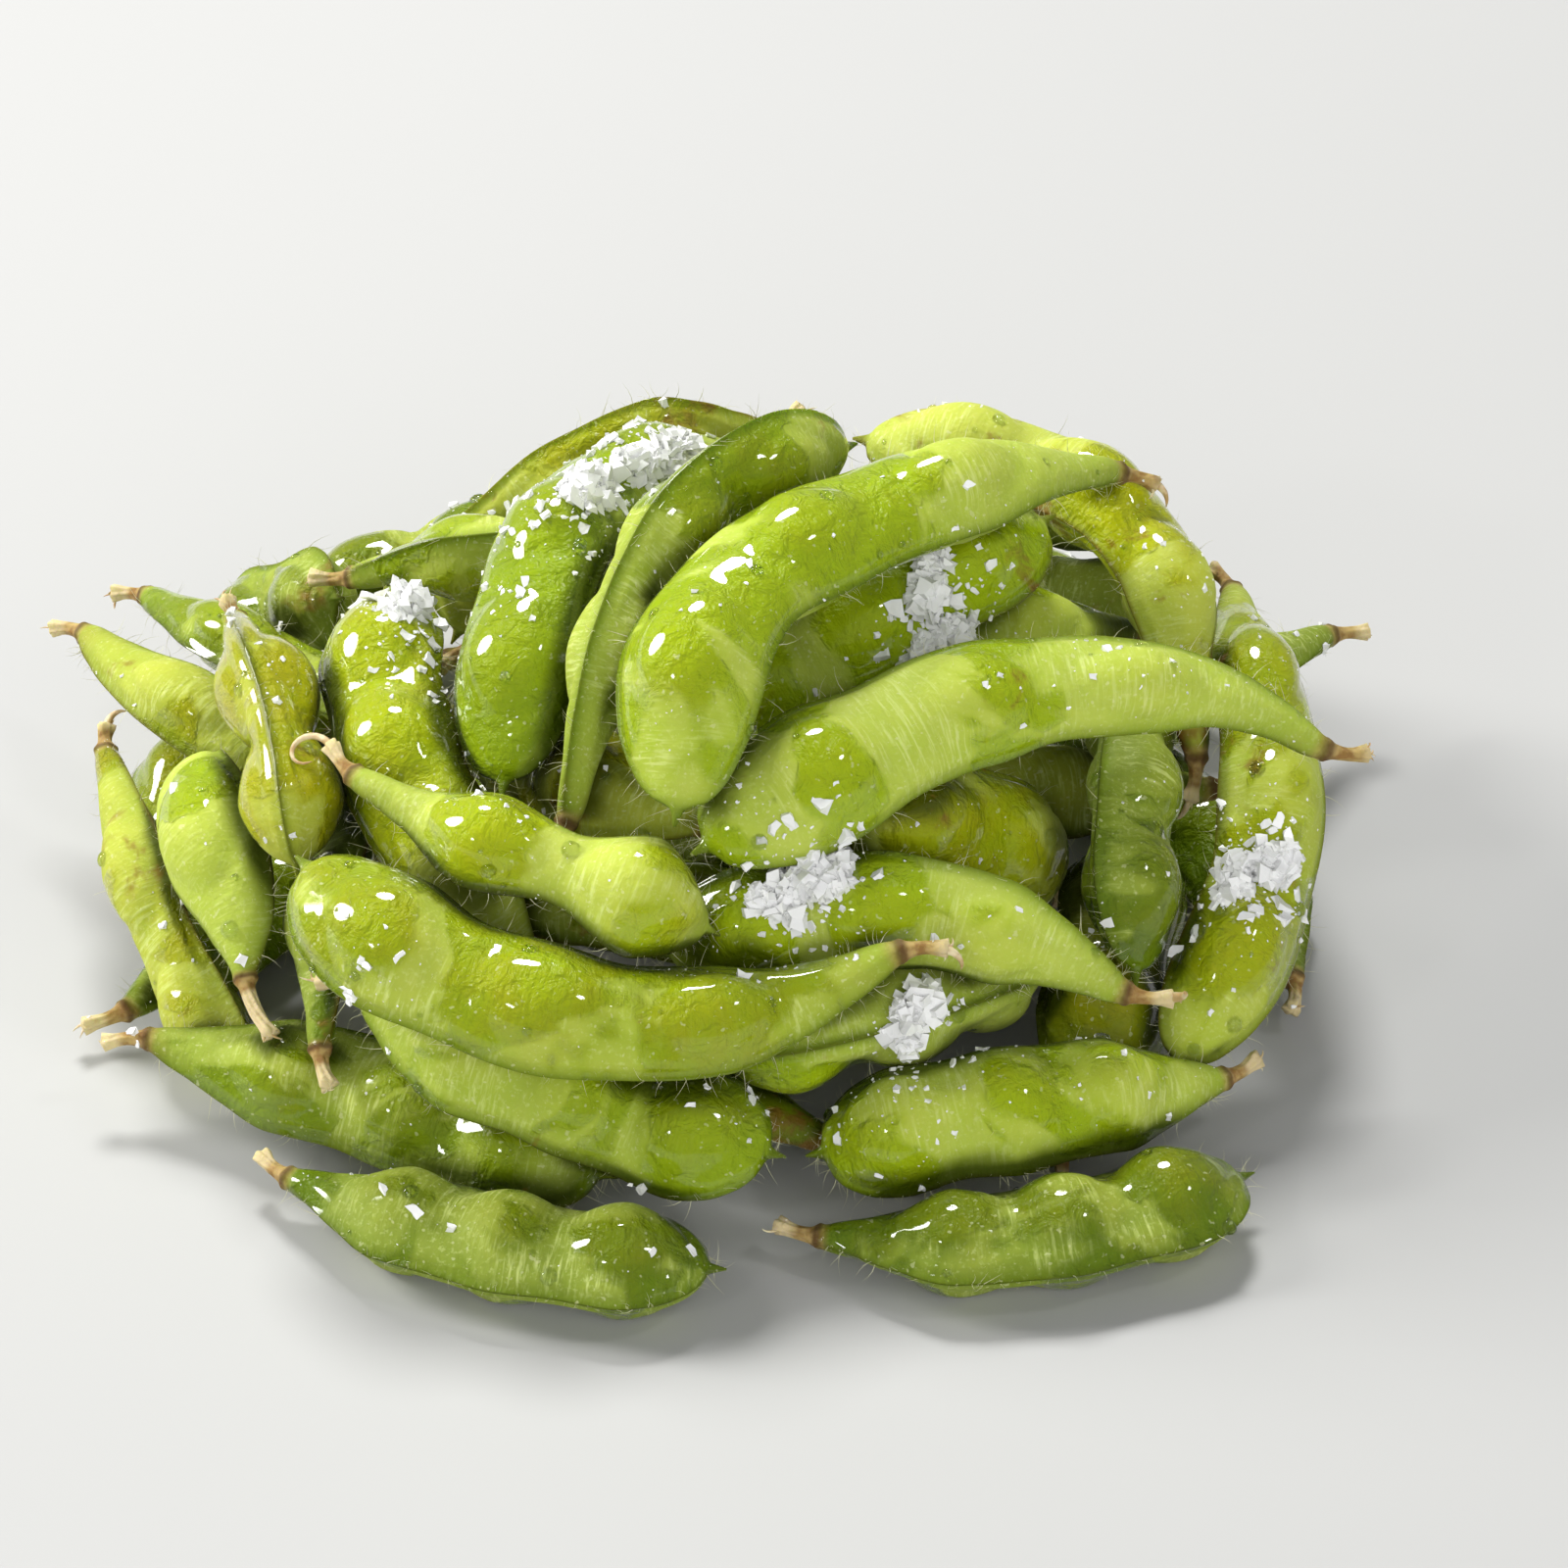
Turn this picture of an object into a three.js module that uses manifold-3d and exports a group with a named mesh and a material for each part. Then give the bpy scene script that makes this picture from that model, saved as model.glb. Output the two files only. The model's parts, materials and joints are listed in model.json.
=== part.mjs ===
// A heap of boiled edamame pods with coarse salt, as it lies on a table.
// Millimetres, +Z up, the table at z = 0, the origin under the middle of the heap.
// Each pod is one solid: stalk, husk with a swelling for each bean, and beak. Each pod's route through the
// heap is drawn by hand; the heap is then settled, so that the pods rest on the table and on one another.
import * as THREE from "three";
import { mergeVertices } from "three/addons/utils/BufferGeometryUtils.js";
import Module from "manifold-3d";

// ---- Driving dimensions ----

const POD_WIDTH = 13.4; // across the two seams
const POD_THICKNESS = 9.2; // through a bean
const WAIST = 0.74; // thickness between two beans, as a share of the thickness through one
const WAIST_WIDTH = 0.89; // the same for the width
const BEAN_SPREAD = 0.1; // half length of a bean's swelling, as a share of the husk's length
const TAPER_END = 0.42; // share of the husk's length over which it widens from the stalk
const NOSE_START = 0.82; // share of the husk's length at which it begins to round off to the beak
const FIRST_BEAN = 0.3; // middle of the bean nearest to the stalk, as a share of the husk's length
const LAST_BEAN = 0.81;
const NECK_RADIUS = 1.5; // where the husk meets the stalk
const STALK_RADIUS = 1.15;
const STALK_LENGTH = 4.5;
const STALK_HOOK = 0.5; // radians that the stalk bends, away from the husk's hollow side
const BEAK_RADIUS = 0.55;
const BEAK_LENGTH = 1.6;

const TAPER_RINGS = [0, 0.09, 0.19]; // shares of the husk's length at which it has a ring of corners
const NOSE_RINGS = [0.89, 0.95, 0.985, 1];
const RING_SIDES = 10; // two corners lie on the seams, and a flat faces each way through the pod

const CLEARANCE = 0.3; // kept between neighbours
const BALL_ALLOWANCE = 0.14; // how far a husk stands out between the balls that stand in for it
const TABLE_SINK = 0.3; // how far a soft pod's weight presses it on the table
const SLUMP = 1.3; // what is nearer to the table than this slumps flat on it
const CRYSTAL_EDGE = 2.3;
const CRYSTAL_THICKNESS = 0.9;

// ---- The heap's pods ----
// route: from the stalk to the beak, along the husk's middle. face: the way that the husk's flat side
// looks, where the route's own bend doesn't give it. bulk scales the width and the thickness, and breadth
// the width alone. lean is the share of its bulk that a pod has at the stalk, where it is slimmer there.
// A pod holds three beans unless it says otherwise. pinch narrows its waists, and stalk is the length
// of its stalk, where they differ from the others'.

const UP = [0, 0, 1];
const PODS = {
  crown_pod_1: {
    bulk: 1.13, breadth: 0.95, lean: 0.86, face: [-0.1, -0.4, 0.9],
    route: [[41, 19, 45], [31, 11, 50], [20, 4, 51], [8, -5, 51], [-1, -17, 49], [-4, -29, 37]],
  },
  crown_pod_2: {
    bulk: 1.08, breadth: 0.96, face: [-0.35, -0.35, 0.85],
    route: [[8, 29, 42], [-2, 20, 46], [-12, 9, 47], [-17, -5, 44], [-20, -20, 32]],
  },
  crown_pod_3: {
    bulk: 0.84, face: [0.87, -0.49, 0.05],
    route: [[-15, -24, 34], [-11, -16, 45], [-6, -5, 51], [1, 4, 54], [14, 16, 51]],
  },
  crown_pod_4: {
    bulk: 1.02, breadth: 0.84, face: [0.4, -0.3, 0.87],
    route: [[51, -2, 25], [49, 4, 32], [47, 11, 37], [40, 21, 40], [30, 27, 40], [16, 32, 38]],
  },
  crown_pod_5: {
    bulk: 1.1, breadth: 0.97, lean: 0.58, face: [0.05, -0.6, 0.8],
    route: [[61, -12, 32], [52, -10, 37], [40, -11, 40], [27, -14, 41], [14, -21, 40], [-1, -29, 36]],
  },
  front_pod_1: {
    bulk: 1.08, breadth: 0.97, lean: 0.76, face: [0, -0.55, 0.83],
    route: [[19, -36, 31], [8, -39, 26], [-4, -42, 25], [-18, -41, 26], [-31, -35, 28], [-39, -27, 30]],
  },
  front_pod_2: {
    beans: 2, bulk: 1.04, breadth: 0.9, lean: 0.66, pinch: 0.7, face: [0.1, -0.5, 0.86],
    route: [[-34, -20, 34], [-25, -27, 33], [-15, -32, 32], [-6, -35, 30], [0, -35, 26]],
  },
  front_pod_3: {
    bulk: 1.02, breadth: 0.9, lean: 0.86,
    route: [[40, -35, 20], [31, -31, 24], [19, -28, 27], [6, -27, 26], [-4, -26, 23]],
  },
  front_pod_4: {
    bulk: 1.02, breadth: 0.88,
    route: [[34, -16, 11], [31, -25, 14], [25, -32, 16], [13, -37, 15], [1, -38, 13]],
  },
  front_pod_5: {
    bulk: 1.04, breadth: 0.94, face: [0, -0.5, 0.87],
    route: [[52, -34, 7], [38, -39, 10], [25, -42, 11], [12, -43, 9]],
  },
  front_pod_6: {
    beans: 2, bulk: 0.94, face: UP,
    route: [[13, -40, 8], [3, -37, 9], [-10, -34, 9], [-26, -28, 8]],
  },
  front_pod_7: {
    bulk: 1.02, face: [-0.2, -0.5, 0.85],
    route: [[-34, -32, 19], [-26, -38, 16], [-16, -41, 13], [-6, -44, 9], [5, -48, 7]],
  },
  front_pod_8: {
    bulk: 0.98, face: [-0.3, -0.4, 0.85],
    route: [[-51, -25, 12], [-41, -31, 10], [-31, -36, 8], [-21, -44, 6], [-11, -52, 5]],
  },
  right_pod_1: {
    bulk: 0.88, face: [0.75, -0.4, 0.5],
    route: [[41, 14, 22], [44, 2, 27], [44, -8, 28], [43, -17, 26], [43, -27, 18]],
  },
  right_pod_2: {
    bulk: 0.96, breadth: 0.88, face: [0.3, -0.45, 0.85],
    route: [[56, 28, 26], [56, 11, 28], [56, -6, 25], [53, -18, 18], [44, -31, 9]],
  },
  right_pod_3: {
    bulk: 0.84, face: UP,
    route: [[67, 37, 14], [58, 29, 16], [48, 21, 16], [36, 13, 13], [26, 5, 9]],
  },
  right_pod_4: {
    beans: 2, bulk: 1.08, face: [0.2, -0.7, 0.6],
    route: [[34, 1, 12], [33, -6, 19], [30, -13, 26], [24, -18, 30], [17, -23, 32]],
  },
  right_pod_5: {
    beans: 2, bulk: 0.96, face: [0.1, -0.3, 0.95],
    route: [[36, -39, 6], [37, -32, 9], [38, -23, 12], [38, -13, 15], [38, -1, 14]],
  },
  left_pod_1: {
    bulk: 1, breadth: 0.96, face: [-0.2, -0.6, 0.77],
    route: [[-14, -31, 22], [-19, -27, 29], [-26, -18, 34], [-30, -5, 37], [-31, 10, 38]],
  },
  left_pod_2: {
    beans: 2, bulk: 0.86, face: [-0.6, -0.6, 0.5],
    route: [[-50, 42, 5], [-49, 38, 11], [-46, 33, 17], [-42, 28, 23], [-39, 23, 28]],
  },
  left_pod_3: {
    bulk: 0.86, face: [0.2, 0.75, 0.6],
    route: [[-36, 25, 29], [-27, 20, 34], [-17, 19, 36], [-5, 22, 33], [6, 24, 28]],
  },
  left_pod_4: {
    beans: 2, bulk: 0.96, stalk: 3, face: [0.92, 0.25, 0.3],
    route: [[-48, 9, 34], [-46, 2, 34], [-43, -6, 32], [-41, -14, 29], [-40, -22, 23]],
  },
  left_pod_5: {
    beans: 2, bulk: 0.66, face: [-0.2, -0.2, 0.95],
    route: [[-65, 24, 22], [-58, 14, 24], [-50, 6, 25], [-41, -1, 21], [-31, -6, 16]],
  },
  left_pod_6: {
    beans: 2, bulk: 0.64, face: UP,
    route: [[-60, 34, 21], [-53, 25, 24], [-46, 18, 25], [-37, 13, 24], [-27, 10, 22]],
  },
  left_pod_7: {
    beans: 2, bulk: 0.7, stalk: 3, face: [-0.8, -0.2, 0.5],
    route: [[-60, 8, 21], [-58, -1, 19], [-55, -10, 15], [-51, -19, 10], [-46, -28, 5]],
  },
  left_pod_8: {
    beans: 1, bulk: 1, breadth: 0.88, stalk: 7, face: [-0.5, -0.55, 0.7],
    route: [[-41, -26, 15], [-42, -22, 18], [-45, -16, 21], [-49, -8, 23], [-51, -2, 21]],
  },
  left_pod_9: {
    beans: 2, bulk: 0.74, face: [-0.7, -0.3, 0.5],
    route: [[-41, -33, 13], [-41, -27, 17], [-41, -19, 21], [-39, -10, 23], [-35, -1, 22]],
  },
  back_pod_1: {
    bulk: 0.96,
    route: [[6, 37, 40], [-4, 32, 41], [-13, 29, 38], [-21, 26, 32], [-26, 22, 24]],
  },
  back_pod_2: {
    bulk: 0.98, face: [-0.1, 0.7, 0.7],
    route: [[-38, 36, 14], [-28, 39, 22], [-15, 42, 27], [-2, 43, 29], [10, 43, 27]],
  },
  back_pod_3: {
    bulk: 1, face: [0.3, 0.6, 0.7],
    route: [[14, 52, 14], [21, 48, 21], [29, 43, 27], [37, 35, 33], [42, 25, 35]],
  },
  back_pod_4: {
    bulk: 0.96, face: [0.2, 0.5, 0.8],
    route: [[58, 32, 8], [48, 42, 12], [36, 50, 12], [22, 55, 9], [10, 57, 6]],
  },
  back_pod_5: {
    bulk: 1, face: [-0.2, 0.5, 0.8],
    route: [[-50, 40, 8], [-40, 48, 12], [-27, 53, 13], [-14, 54, 11], [-2, 54, 8]],
  },
  core_pod_1: {
    bulk: 1, face: [0, -0.5, 0.85],
    route: [[-10, -4, 25], [0, -3, 31], [14, 1, 37], [25, 7, 40], [35, 14, 41]],
  },
  core_pod_2: {
    bulk: 0.94, face: [-0.3, -0.3, 0.9],
    route: [[44, 15, 33], [35, 9, 35], [25, 5, 33], [13, 1, 26], [2, -3, 19]],
  },
  core_pod_3: {
    bulk: 0.94, face: [-0.4, -0.4, 0.8],
    route: [[0, -25, 31], [-5, -23, 32], [-11, -18, 32], [-18, -5, 30], [-24, 9, 26]],
  },
  core_pod_4: {
    bulk: 0.94, face: [0, -0.3, 0.95],
    route: [[52, -4, 17], [38, -2, 17], [25, -4, 19], [12, -7, 21], [1, -10, 19]],
  },
  core_pod_5: {
    bulk: 0.94, face: [0, -0.3, 0.95],
    route: [[-28, -24, 22], [-16, -22, 24], [-3, -20, 22], [9, -17, 18], [20, -16, 14]],
  },
  core_pod_6: {
    bulk: 0.94, face: UP,
    route: [[-24, 9, 33], [-10, 12, 35], [3, 16, 36], [15, 21, 36], [26, 26, 34]],
  },
  middle_pod_1: {
    bulk: 0.98, face: UP,
    route: [[-30, 24, 14], [-16, 18, 15], [0, 14, 15], [16, 16, 14], [28, 22, 12]],
  },
  middle_pod_2: {
    bulk: 0.98, face: UP,
    route: [[-26, -6, 12], [-12, -10, 14], [4, -11, 14], [18, -8, 13], [30, -2, 12]],
  },
  middle_pod_3: {
    bulk: 0.96, face: UP,
    route: [[-26, 12, 26], [-12, 10, 28], [2, 14, 30], [16, 20, 31], [28, 26, 30]],
  },
  middle_pod_4: {
    bulk: 0.96, face: UP,
    route: [[54, 20, 23], [44, 26, 26], [33, 29, 26], [22, 30, 24], [12, 30, 21]],
  },
  middle_pod_5: {
    bulk: 0.94, face: UP,
    route: [[-34, 4, 15], [-20, 3, 17], [-6, 3, 18], [8, 6, 19], [18, 11, 21]],
  },
  base_pod_1: {
    bulk: 1, face: UP,
    route: [[-30, -12, 5], [-16, -18, 5], [0, -19, 5], [16, -15, 5], [28, -8, 5]],
  },
  base_pod_2: {
    bulk: 0.98, face: UP,
    route: [[-28, 22, 5], [-14, 14, 5], [2, 11, 5], [17, 13, 5], [30, 20, 5]],
  },
  base_pod_3: {
    bulk: 0.96, face: UP,
    route: [[-58, -18, 5], [-50, -8, 5], [-42, 4, 5], [-36, 17, 5]],
  },
  base_pod_4: {
    bulk: 1, face: UP,
    route: [[60, -12, 5], [56, 2, 6], [50, 15, 6], [42, 26, 5]],
  },
  base_pod_5: {
    bulk: 0.96, face: UP,
    route: [[-60, 10, 5], [-56, 24, 6], [-48, 36, 6], [-36, 46, 5]],
  },
  base_pod_6: {
    bulk: 1, face: UP,
    route: [[-24, 62, 5], [-10, 60, 5], [4, 60, 5], [18, 62, 5]],
  },
  base_pod_7: {
    bulk: 1, face: UP,
    route: [[-40, -42, 5], [-27, -48, 5], [-13, -52, 5], [2, -53, 5]],
  },
  base_pod_8: {
    bulk: 1.02, face: UP,
    route: [[10, -50, 5], [24, -51, 5], [38, -48, 5], [51, -41, 5]],
  },
  base_pod_9: {
    bulk: 0.98, face: UP,
    route: [[-6, 38, 5], [8, 34, 5], [23, 34, 5], [38, 38, 5]],
  },
};

// ---- The salt's larger clumps ----
// from and to: where a clump begins and ends, as the salt is thrown on the heap from the front.

const SALT_THROW = [0, 0.81, -0.59];
const SALT_CLUMPS = {
  salt_clump_1: { crystals: 15, from: [-7, 12, 50], to: [0, 18, 49] },
  salt_clump_2: { crystals: 13, from: [-14, 6, 49], to: [-9, 13, 50] },
  salt_clump_3: { crystals: 9, from: [21, 0, 42], to: [24, 1, 46] },
  salt_clump_4: { crystals: 17, from: [6, -34, 29], to: [15, -31, 33] },
  salt_clump_5: { crystals: 12, from: [52, -19, 20], to: [57, -18, 23] },
  salt_clump_6: { crystals: 8, from: [20, -3, 38], to: [25, -1, 40] },
  salt_clump_7: { crystals: 8, from: [20, -40, 18], to: [21, -36, 21] },
  salt_clump_8: { crystals: 8, from: [-31, 4, 38], to: [-26, 6, 39] },
};

// ---- A pod's shape ----

const vector = (p) => new THREE.Vector3(...p);

// Where the beans lie along the husk, as shares of its length.
function beanPlaces({ beans = 3 }) {
  if (beans === 1) return [(FIRST_BEAN + LAST_BEAN) / 2];
  const first = beans === 2 ? FIRST_BEAN + 0.1 : FIRST_BEAN;
  return Array.from({ length: beans }, (_, i) => first + ((LAST_BEAN - first) * i) / (beans - 1));
}

// Half width and half thickness at a share t of the husk's length.
function huskSize(pod, t) {
  const widening = Math.sin((Math.PI / 2) * Math.min(1, t / TAPER_END)) ** 1.2;
  const nose = Math.max(0, (t - NOSE_START) / (1 - NOSE_START));
  const rounding = Math.sqrt(1 - nose ** 2.2);
  const swelling = Math.max(...beanPlaces(pod).map((at) => Math.exp(-(((t - at) / BEAN_SPREAD) ** 2))));
  const { pinch = 1, breadth = 1, lean = 1 } = pod;
  const size = pod.bulk * (lean + (1 - lean) * Math.min(1, t / LAST_BEAN));
  const grow = (full, waist) => {
    const half = (size * full) / 2;
    const body = NECK_RADIUS + (half - NECK_RADIUS) * widening;
    const pinched = Math.max(NECK_RADIUS, body * (pinch * waist + (1 - pinch * waist) * swelling));
    return Math.max(BEAK_RADIUS, pinched * rounding);
  };
  return {
    halfWidth: grow(POD_WIDTH * breadth, WAIST_WIDTH),
    halfThickness: grow(POD_THICKNESS, WAIST),
  };
}

// The flat side's direction: given, or square to the plane in which the route bends.
function flatSide(pod, points) {
  if (pod.face) return vector(pod.face).normalize();
  const middle = points.reduce((sum, p) => sum.add(p), new THREE.Vector3()).divideScalar(points.length);
  const normal = new THREE.Vector3();
  for (let i = 1; i < points.length; i++) {
    normal.add(points[i - 1].clone().sub(middle).cross(points[i].clone().sub(middle)));
  }
  return normal.multiplyScalar(Math.sign(normal.z) || 1).normalize();
}

// A cross-section of the pod: its centre, its two half axes and their directions.
function section(centre, along, face, halfWidth, halfThickness) {
  const across = new THREE.Vector3().crossVectors(face, along).normalize();
  const through = new THREE.Vector3().crossVectors(along, across).normalize();
  return { centre, along, across, through, halfWidth, halfThickness };
}

// The husk's cross-sections at the given shares of its length.
function huskSections(pod, shares) {
  const points = pod.route.map(vector);
  const line = new THREE.CatmullRomCurve3(points, false, "centripetal");
  const face = flatSide(pod, points);
  return shares.map((t) => {
    const { halfWidth, halfThickness } = huskSize(pod, t);
    return section(line.getPointAt(t), line.getTangentAt(t), face, halfWidth, halfThickness);
  });
}

// The stalk's cross-sections, from its cut end to the husk, bending away from the husk's hollow side.
function stalkSections(pod, neck, nextSection, steps) {
  const { stalk = STALK_LENGTH } = pod;
  const turn = Math.sign(nextSection.along.dot(neck.across)) || 1;
  const sections = [];
  const at = neck.centre.clone();
  for (let i = 1; i <= steps; i++) {
    const angle = (turn * STALK_HOOK * i) / steps;
    const back = neck.along.clone().applyAxisAngle(neck.through, angle).negate();
    at.addScaledVector(back, stalk / steps);
    sections.unshift(section(at.clone(), back.clone().negate(), neck.through, STALK_RADIUS, STALK_RADIUS));
  }
  return sections;
}

// All of a pod's sections: through the stalk, each bean, each waist between two beans, and the nose.
function podSections(pod) {
  const beans = beanPlaces(pod);
  const waists = beans.slice(1).map((at, i) => (at + beans[i]) / 2);
  const shares = [...TAPER_RINGS, ...beans, ...waists, ...NOSE_RINGS].sort((a, b) => a - b);
  const husk = huskSections(pod, shares);
  return [...stalkSections(pod, husk[0], husk[2], 2), ...husk];
}

// ---- Settling the heap ----

const SETTLE_PASSES = 260;
const SEPARATE_PASSES = 500;
const SINK_PER_PASS = 0.03;
const HOLD = 0.02; // share of the way back to the drawn place that each pass keeps
const TURNING = 1 / 250; // how readily a pod turns, against how readily it shifts
const SOFTNESS = 0.35; // share of an overlap that one pass takes away
const BALL_SHARES = Array.from({ length: 23 }, (_, i) => 0.015 + (i * 0.97) / 22);

// A pod as balls that fill it, three abreast where it is wide, about its own middle.
function looseBody(name, pod) {
  const husk = huskSections(pod, BALL_SHARES);
  const nose = husk.at(-1);
  const beakEnd = nose.centre.clone().addScaledVector(nose.along, BEAK_LENGTH);
  const beak = section(beakEnd, nose.along, nose.through, 0, BEAK_RADIUS / 2);
  const sections = [...stalkSections(pod, husk[0], husk[4], 3), ...husk, beak];
  const middle = husk.reduce((sum, s) => sum.add(s.centre), new THREE.Vector3()).divideScalar(husk.length);
  const skinRoom = CLEARANCE / 2 + BALL_ALLOWANCE;
  const balls = [];
  for (const s of sections) {
    const put = (offset, radius) => {
      const at = s.centre.clone().addScaledVector(s.across, offset).sub(middle);
      balls.push({ at, radius: radius + skinRoom });
    };
    put(0, s.halfThickness);
    const sideRadius = 0.9 * s.halfThickness;
    const offset = s.halfWidth - sideRadius;
    if (offset > 0.4) {
      put(offset, sideRadius);
      put(-offset, sideRadius);
    }
  }
  return {
    name,
    middle,
    balls,
    place: middle.clone(),
    turn: new THREE.Quaternion(),
    reach: Math.max(...balls.map((b) => b.at.length() + b.radius)),
    centres: new Float64Array(balls.length * 3),
  };
}

function updateCentres(body) {
  const p = new THREE.Vector3();
  body.balls.forEach((ball, i) => {
    p.copy(ball.at).applyQuaternion(body.turn).add(body.place).toArray(body.centres, 3 * i);
  });
}

// Shifts and turns a body as a push of the given size along a direction at a point would.
function push(body, point, direction, size) {
  const arm = point.clone().sub(body.place);
  body.place.addScaledVector(direction, size);
  const spin = arm.cross(direction).multiplyScalar(size * TURNING);
  const angle = spin.length();
  if (angle > 1e-9) body.turn.premultiply(new THREE.Quaternion().setFromAxisAngle(spin.normalize(), angle));
}

const yielding = (body, point, direction) =>
  1 + TURNING * point.clone().sub(body.place).cross(direction).lengthSq();

// The deepest overlap of two bodies, or null.
function deepestOverlap(a, b) {
  if (a.place.distanceTo(b.place) > a.reach + b.reach) return null;
  let worst = null;
  let depth = 0;
  const [bx, by, bz] = b.place.toArray();
  for (let i = 0; i < a.balls.length; i++) {
    const x = a.centres[3 * i];
    const y = a.centres[3 * i + 1];
    const z = a.centres[3 * i + 2];
    const near = a.balls[i].radius + b.reach;
    if ((x - bx) ** 2 + (y - by) ** 2 + (z - bz) ** 2 > near * near) continue;
    for (let j = 0; j < b.balls.length; j++) {
      const dx = b.centres[3 * j] - x;
      const dy = b.centres[3 * j + 1] - y;
      const dz = b.centres[3 * j + 2] - z;
      const touch = a.balls[i].radius + b.balls[j].radius;
      const square = dx * dx + dy * dy + dz * dz;
      if (square >= touch * touch) continue;
      const apart = Math.sqrt(square);
      if (touch - apart > depth) {
        depth = touch - apart;
        worst = { i, j, apart, dx, dy, dz };
      }
    }
  }
  if (!worst) return null;
  const direction = new THREE.Vector3(worst.dx, worst.dy, worst.dz).divideScalar(worst.apart || 1);
  const point = new THREE.Vector3().fromArray(a.centres, 3 * worst.i);
  point.addScaledVector(direction, a.balls[worst.i].radius);
  return { depth, direction, point };
}

function separate(a, b) {
  const overlap = deepestOverlap(a, b);
  if (!overlap) return 0;
  const { depth, direction, point } = overlap;
  const size = (SOFTNESS * depth) / (yielding(a, point, direction) + yielding(b, point, direction));
  push(a, point, direction.clone().negate(), size);
  push(b, point, direction, size);
  return depth;
}

function liftOffTable(body) {
  let lowest = null;
  let depth = 0;
  body.balls.forEach((ball, i) => {
    const under = ball.radius - CLEARANCE / 2 - BALL_ALLOWANCE - TABLE_SINK - body.centres[3 * i + 2];
    if (under > depth) {
      depth = under;
      lowest = i;
    }
  });
  if (lowest === null) return 0;
  const up = vector(UP);
  const point = new THREE.Vector3().fromArray(body.centres, 3 * lowest);
  push(body, point, up, (SOFTNESS * depth) / yielding(body, point, up));
  return depth;
}

// Lets the bodies sink onto the table and one another, then only parts those that still overlap.
function settle(bodies) {
  const drawn = new THREE.Quaternion();
  for (let pass = 0; pass < SETTLE_PASSES + SEPARATE_PASSES; pass++) {
    const sinking = pass < SETTLE_PASSES;
    let deepest = 0;
    for (const body of bodies) {
      if (sinking) {
        body.place.lerp(body.middle, HOLD);
        body.place.z -= SINK_PER_PASS;
        body.turn.slerp(drawn, HOLD);
      }
      body.turn.normalize();
      updateCentres(body);
    }
    bodies.forEach((a, i) => {
      for (const b of bodies.slice(i + 1)) deepest = Math.max(deepest, separate(a, b));
    });
    for (const body of bodies) deepest = Math.max(deepest, liftOffTable(body));
    if (!sinking && deepest < 0.02) break;
  }
}

// ---- Solids ----

// A closed skin over a row of sections, with a point at each end.
function skin(sections, firstPoint, lastPoint) {
  const positions = [];
  for (const s of sections) {
    for (let k = 0; k < RING_SIDES; k++) {
      const angle = (2 * Math.PI * k) / RING_SIDES;
      const corner = s.centre
        .clone()
        .addScaledVector(s.across, s.halfWidth * Math.cos(angle))
        .addScaledVector(s.through, s.halfThickness * Math.sin(angle));
      positions.push(...corner.toArray());
    }
  }
  positions.push(...firstPoint.toArray(), ...lastPoint.toArray());
  const first = sections.length * RING_SIDES;
  const faces = [];
  for (let k = 0; k < RING_SIDES; k++) {
    const next = (k + 1) % RING_SIDES;
    faces.push(first, next, k);
    for (let r = 0; r < sections.length - 1; r++) {
      const a = r * RING_SIDES;
      const b = a + RING_SIDES;
      faces.push(a + k, a + next, b + next, a + k, b + next, b + k);
    }
    faces.push(first + 1, first - RING_SIDES + k, first - RING_SIDES + next);
  }
  return new THREE.BufferGeometry()
    .setAttribute("position", new THREE.Float32BufferAttribute(positions, 3))
    .setIndex(faces);
}

const huskMaterial = () => new THREE.MeshStandardMaterial({ color: 0x86a92c, roughness: 0.35, metalness: 0 });

// A pod's mesh in its settled place, flattened where it lies on the table.
function podMesh(name, pod, body) {
  const sections = podSections(pod);
  const cutEnd = sections[0];
  const nose = sections.at(-1);
  const geometry = skin(
    sections,
    cutEnd.centre.clone().addScaledVector(cutEnd.along, -0.3 * STALK_RADIUS),
    nose.centre.clone().addScaledVector(nose.along, BEAK_LENGTH),
  );
  geometry.translate(...body.middle.clone().negate().toArray());
  const mesh = new THREE.Mesh(geometry, huskMaterial());
  mesh.name = name;
  mesh.position.copy(body.place);
  mesh.quaternion.copy(body.turn);
  mesh.updateMatrixWorld(true);
  const inverse = mesh.matrixWorld.clone().invert();
  const corners = geometry.getAttribute("position");
  const p = new THREE.Vector3();
  for (let i = 0; i < corners.count; i++) {
    p.fromBufferAttribute(corners, i).applyMatrix4(mesh.matrixWorld);
    if (p.z < SLUMP) p.z = 0;
    p.applyMatrix4(inverse);
    corners.setXYZ(i, p.x, p.y, p.z);
  }
  return mesh;
}

// ---- Salt ----

const wasm = await Module();
wasm.setup();

const saltMaterial = () => new THREE.MeshStandardMaterial({ color: 0xf4f6f4, roughness: 0.2, metalness: 0 });

// A row of numbers from 0 to 1 that comes out the same each time.
function seededRandom(seed) {
  let state = seed;
  return () => {
    state = (state * 16807) % 2147483647;
    return state / 2147483647;
  };
}

function solidOf(geometry, place) {
  const plain = geometry.clone().applyMatrix4(place);
  plain.deleteAttribute("normal");
  plain.deleteAttribute("uv");
  const corners = mergeVertices(plain);
  return new wasm.Manifold(
    new wasm.Mesh({
      numProp: 3,
      vertProperties: new Float32Array(corners.getAttribute("position").array),
      triVerts: new Uint32Array(corners.index.array),
    }),
  );
}

function geometryOf(solid) {
  const { vertProperties, triVerts } = solid.getMesh();
  return new THREE.BufferGeometry()
    .setAttribute("position", new THREE.Float32BufferAttribute(vertProperties, 3))
    .setIndex(Array.from(triVerts));
}

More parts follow.
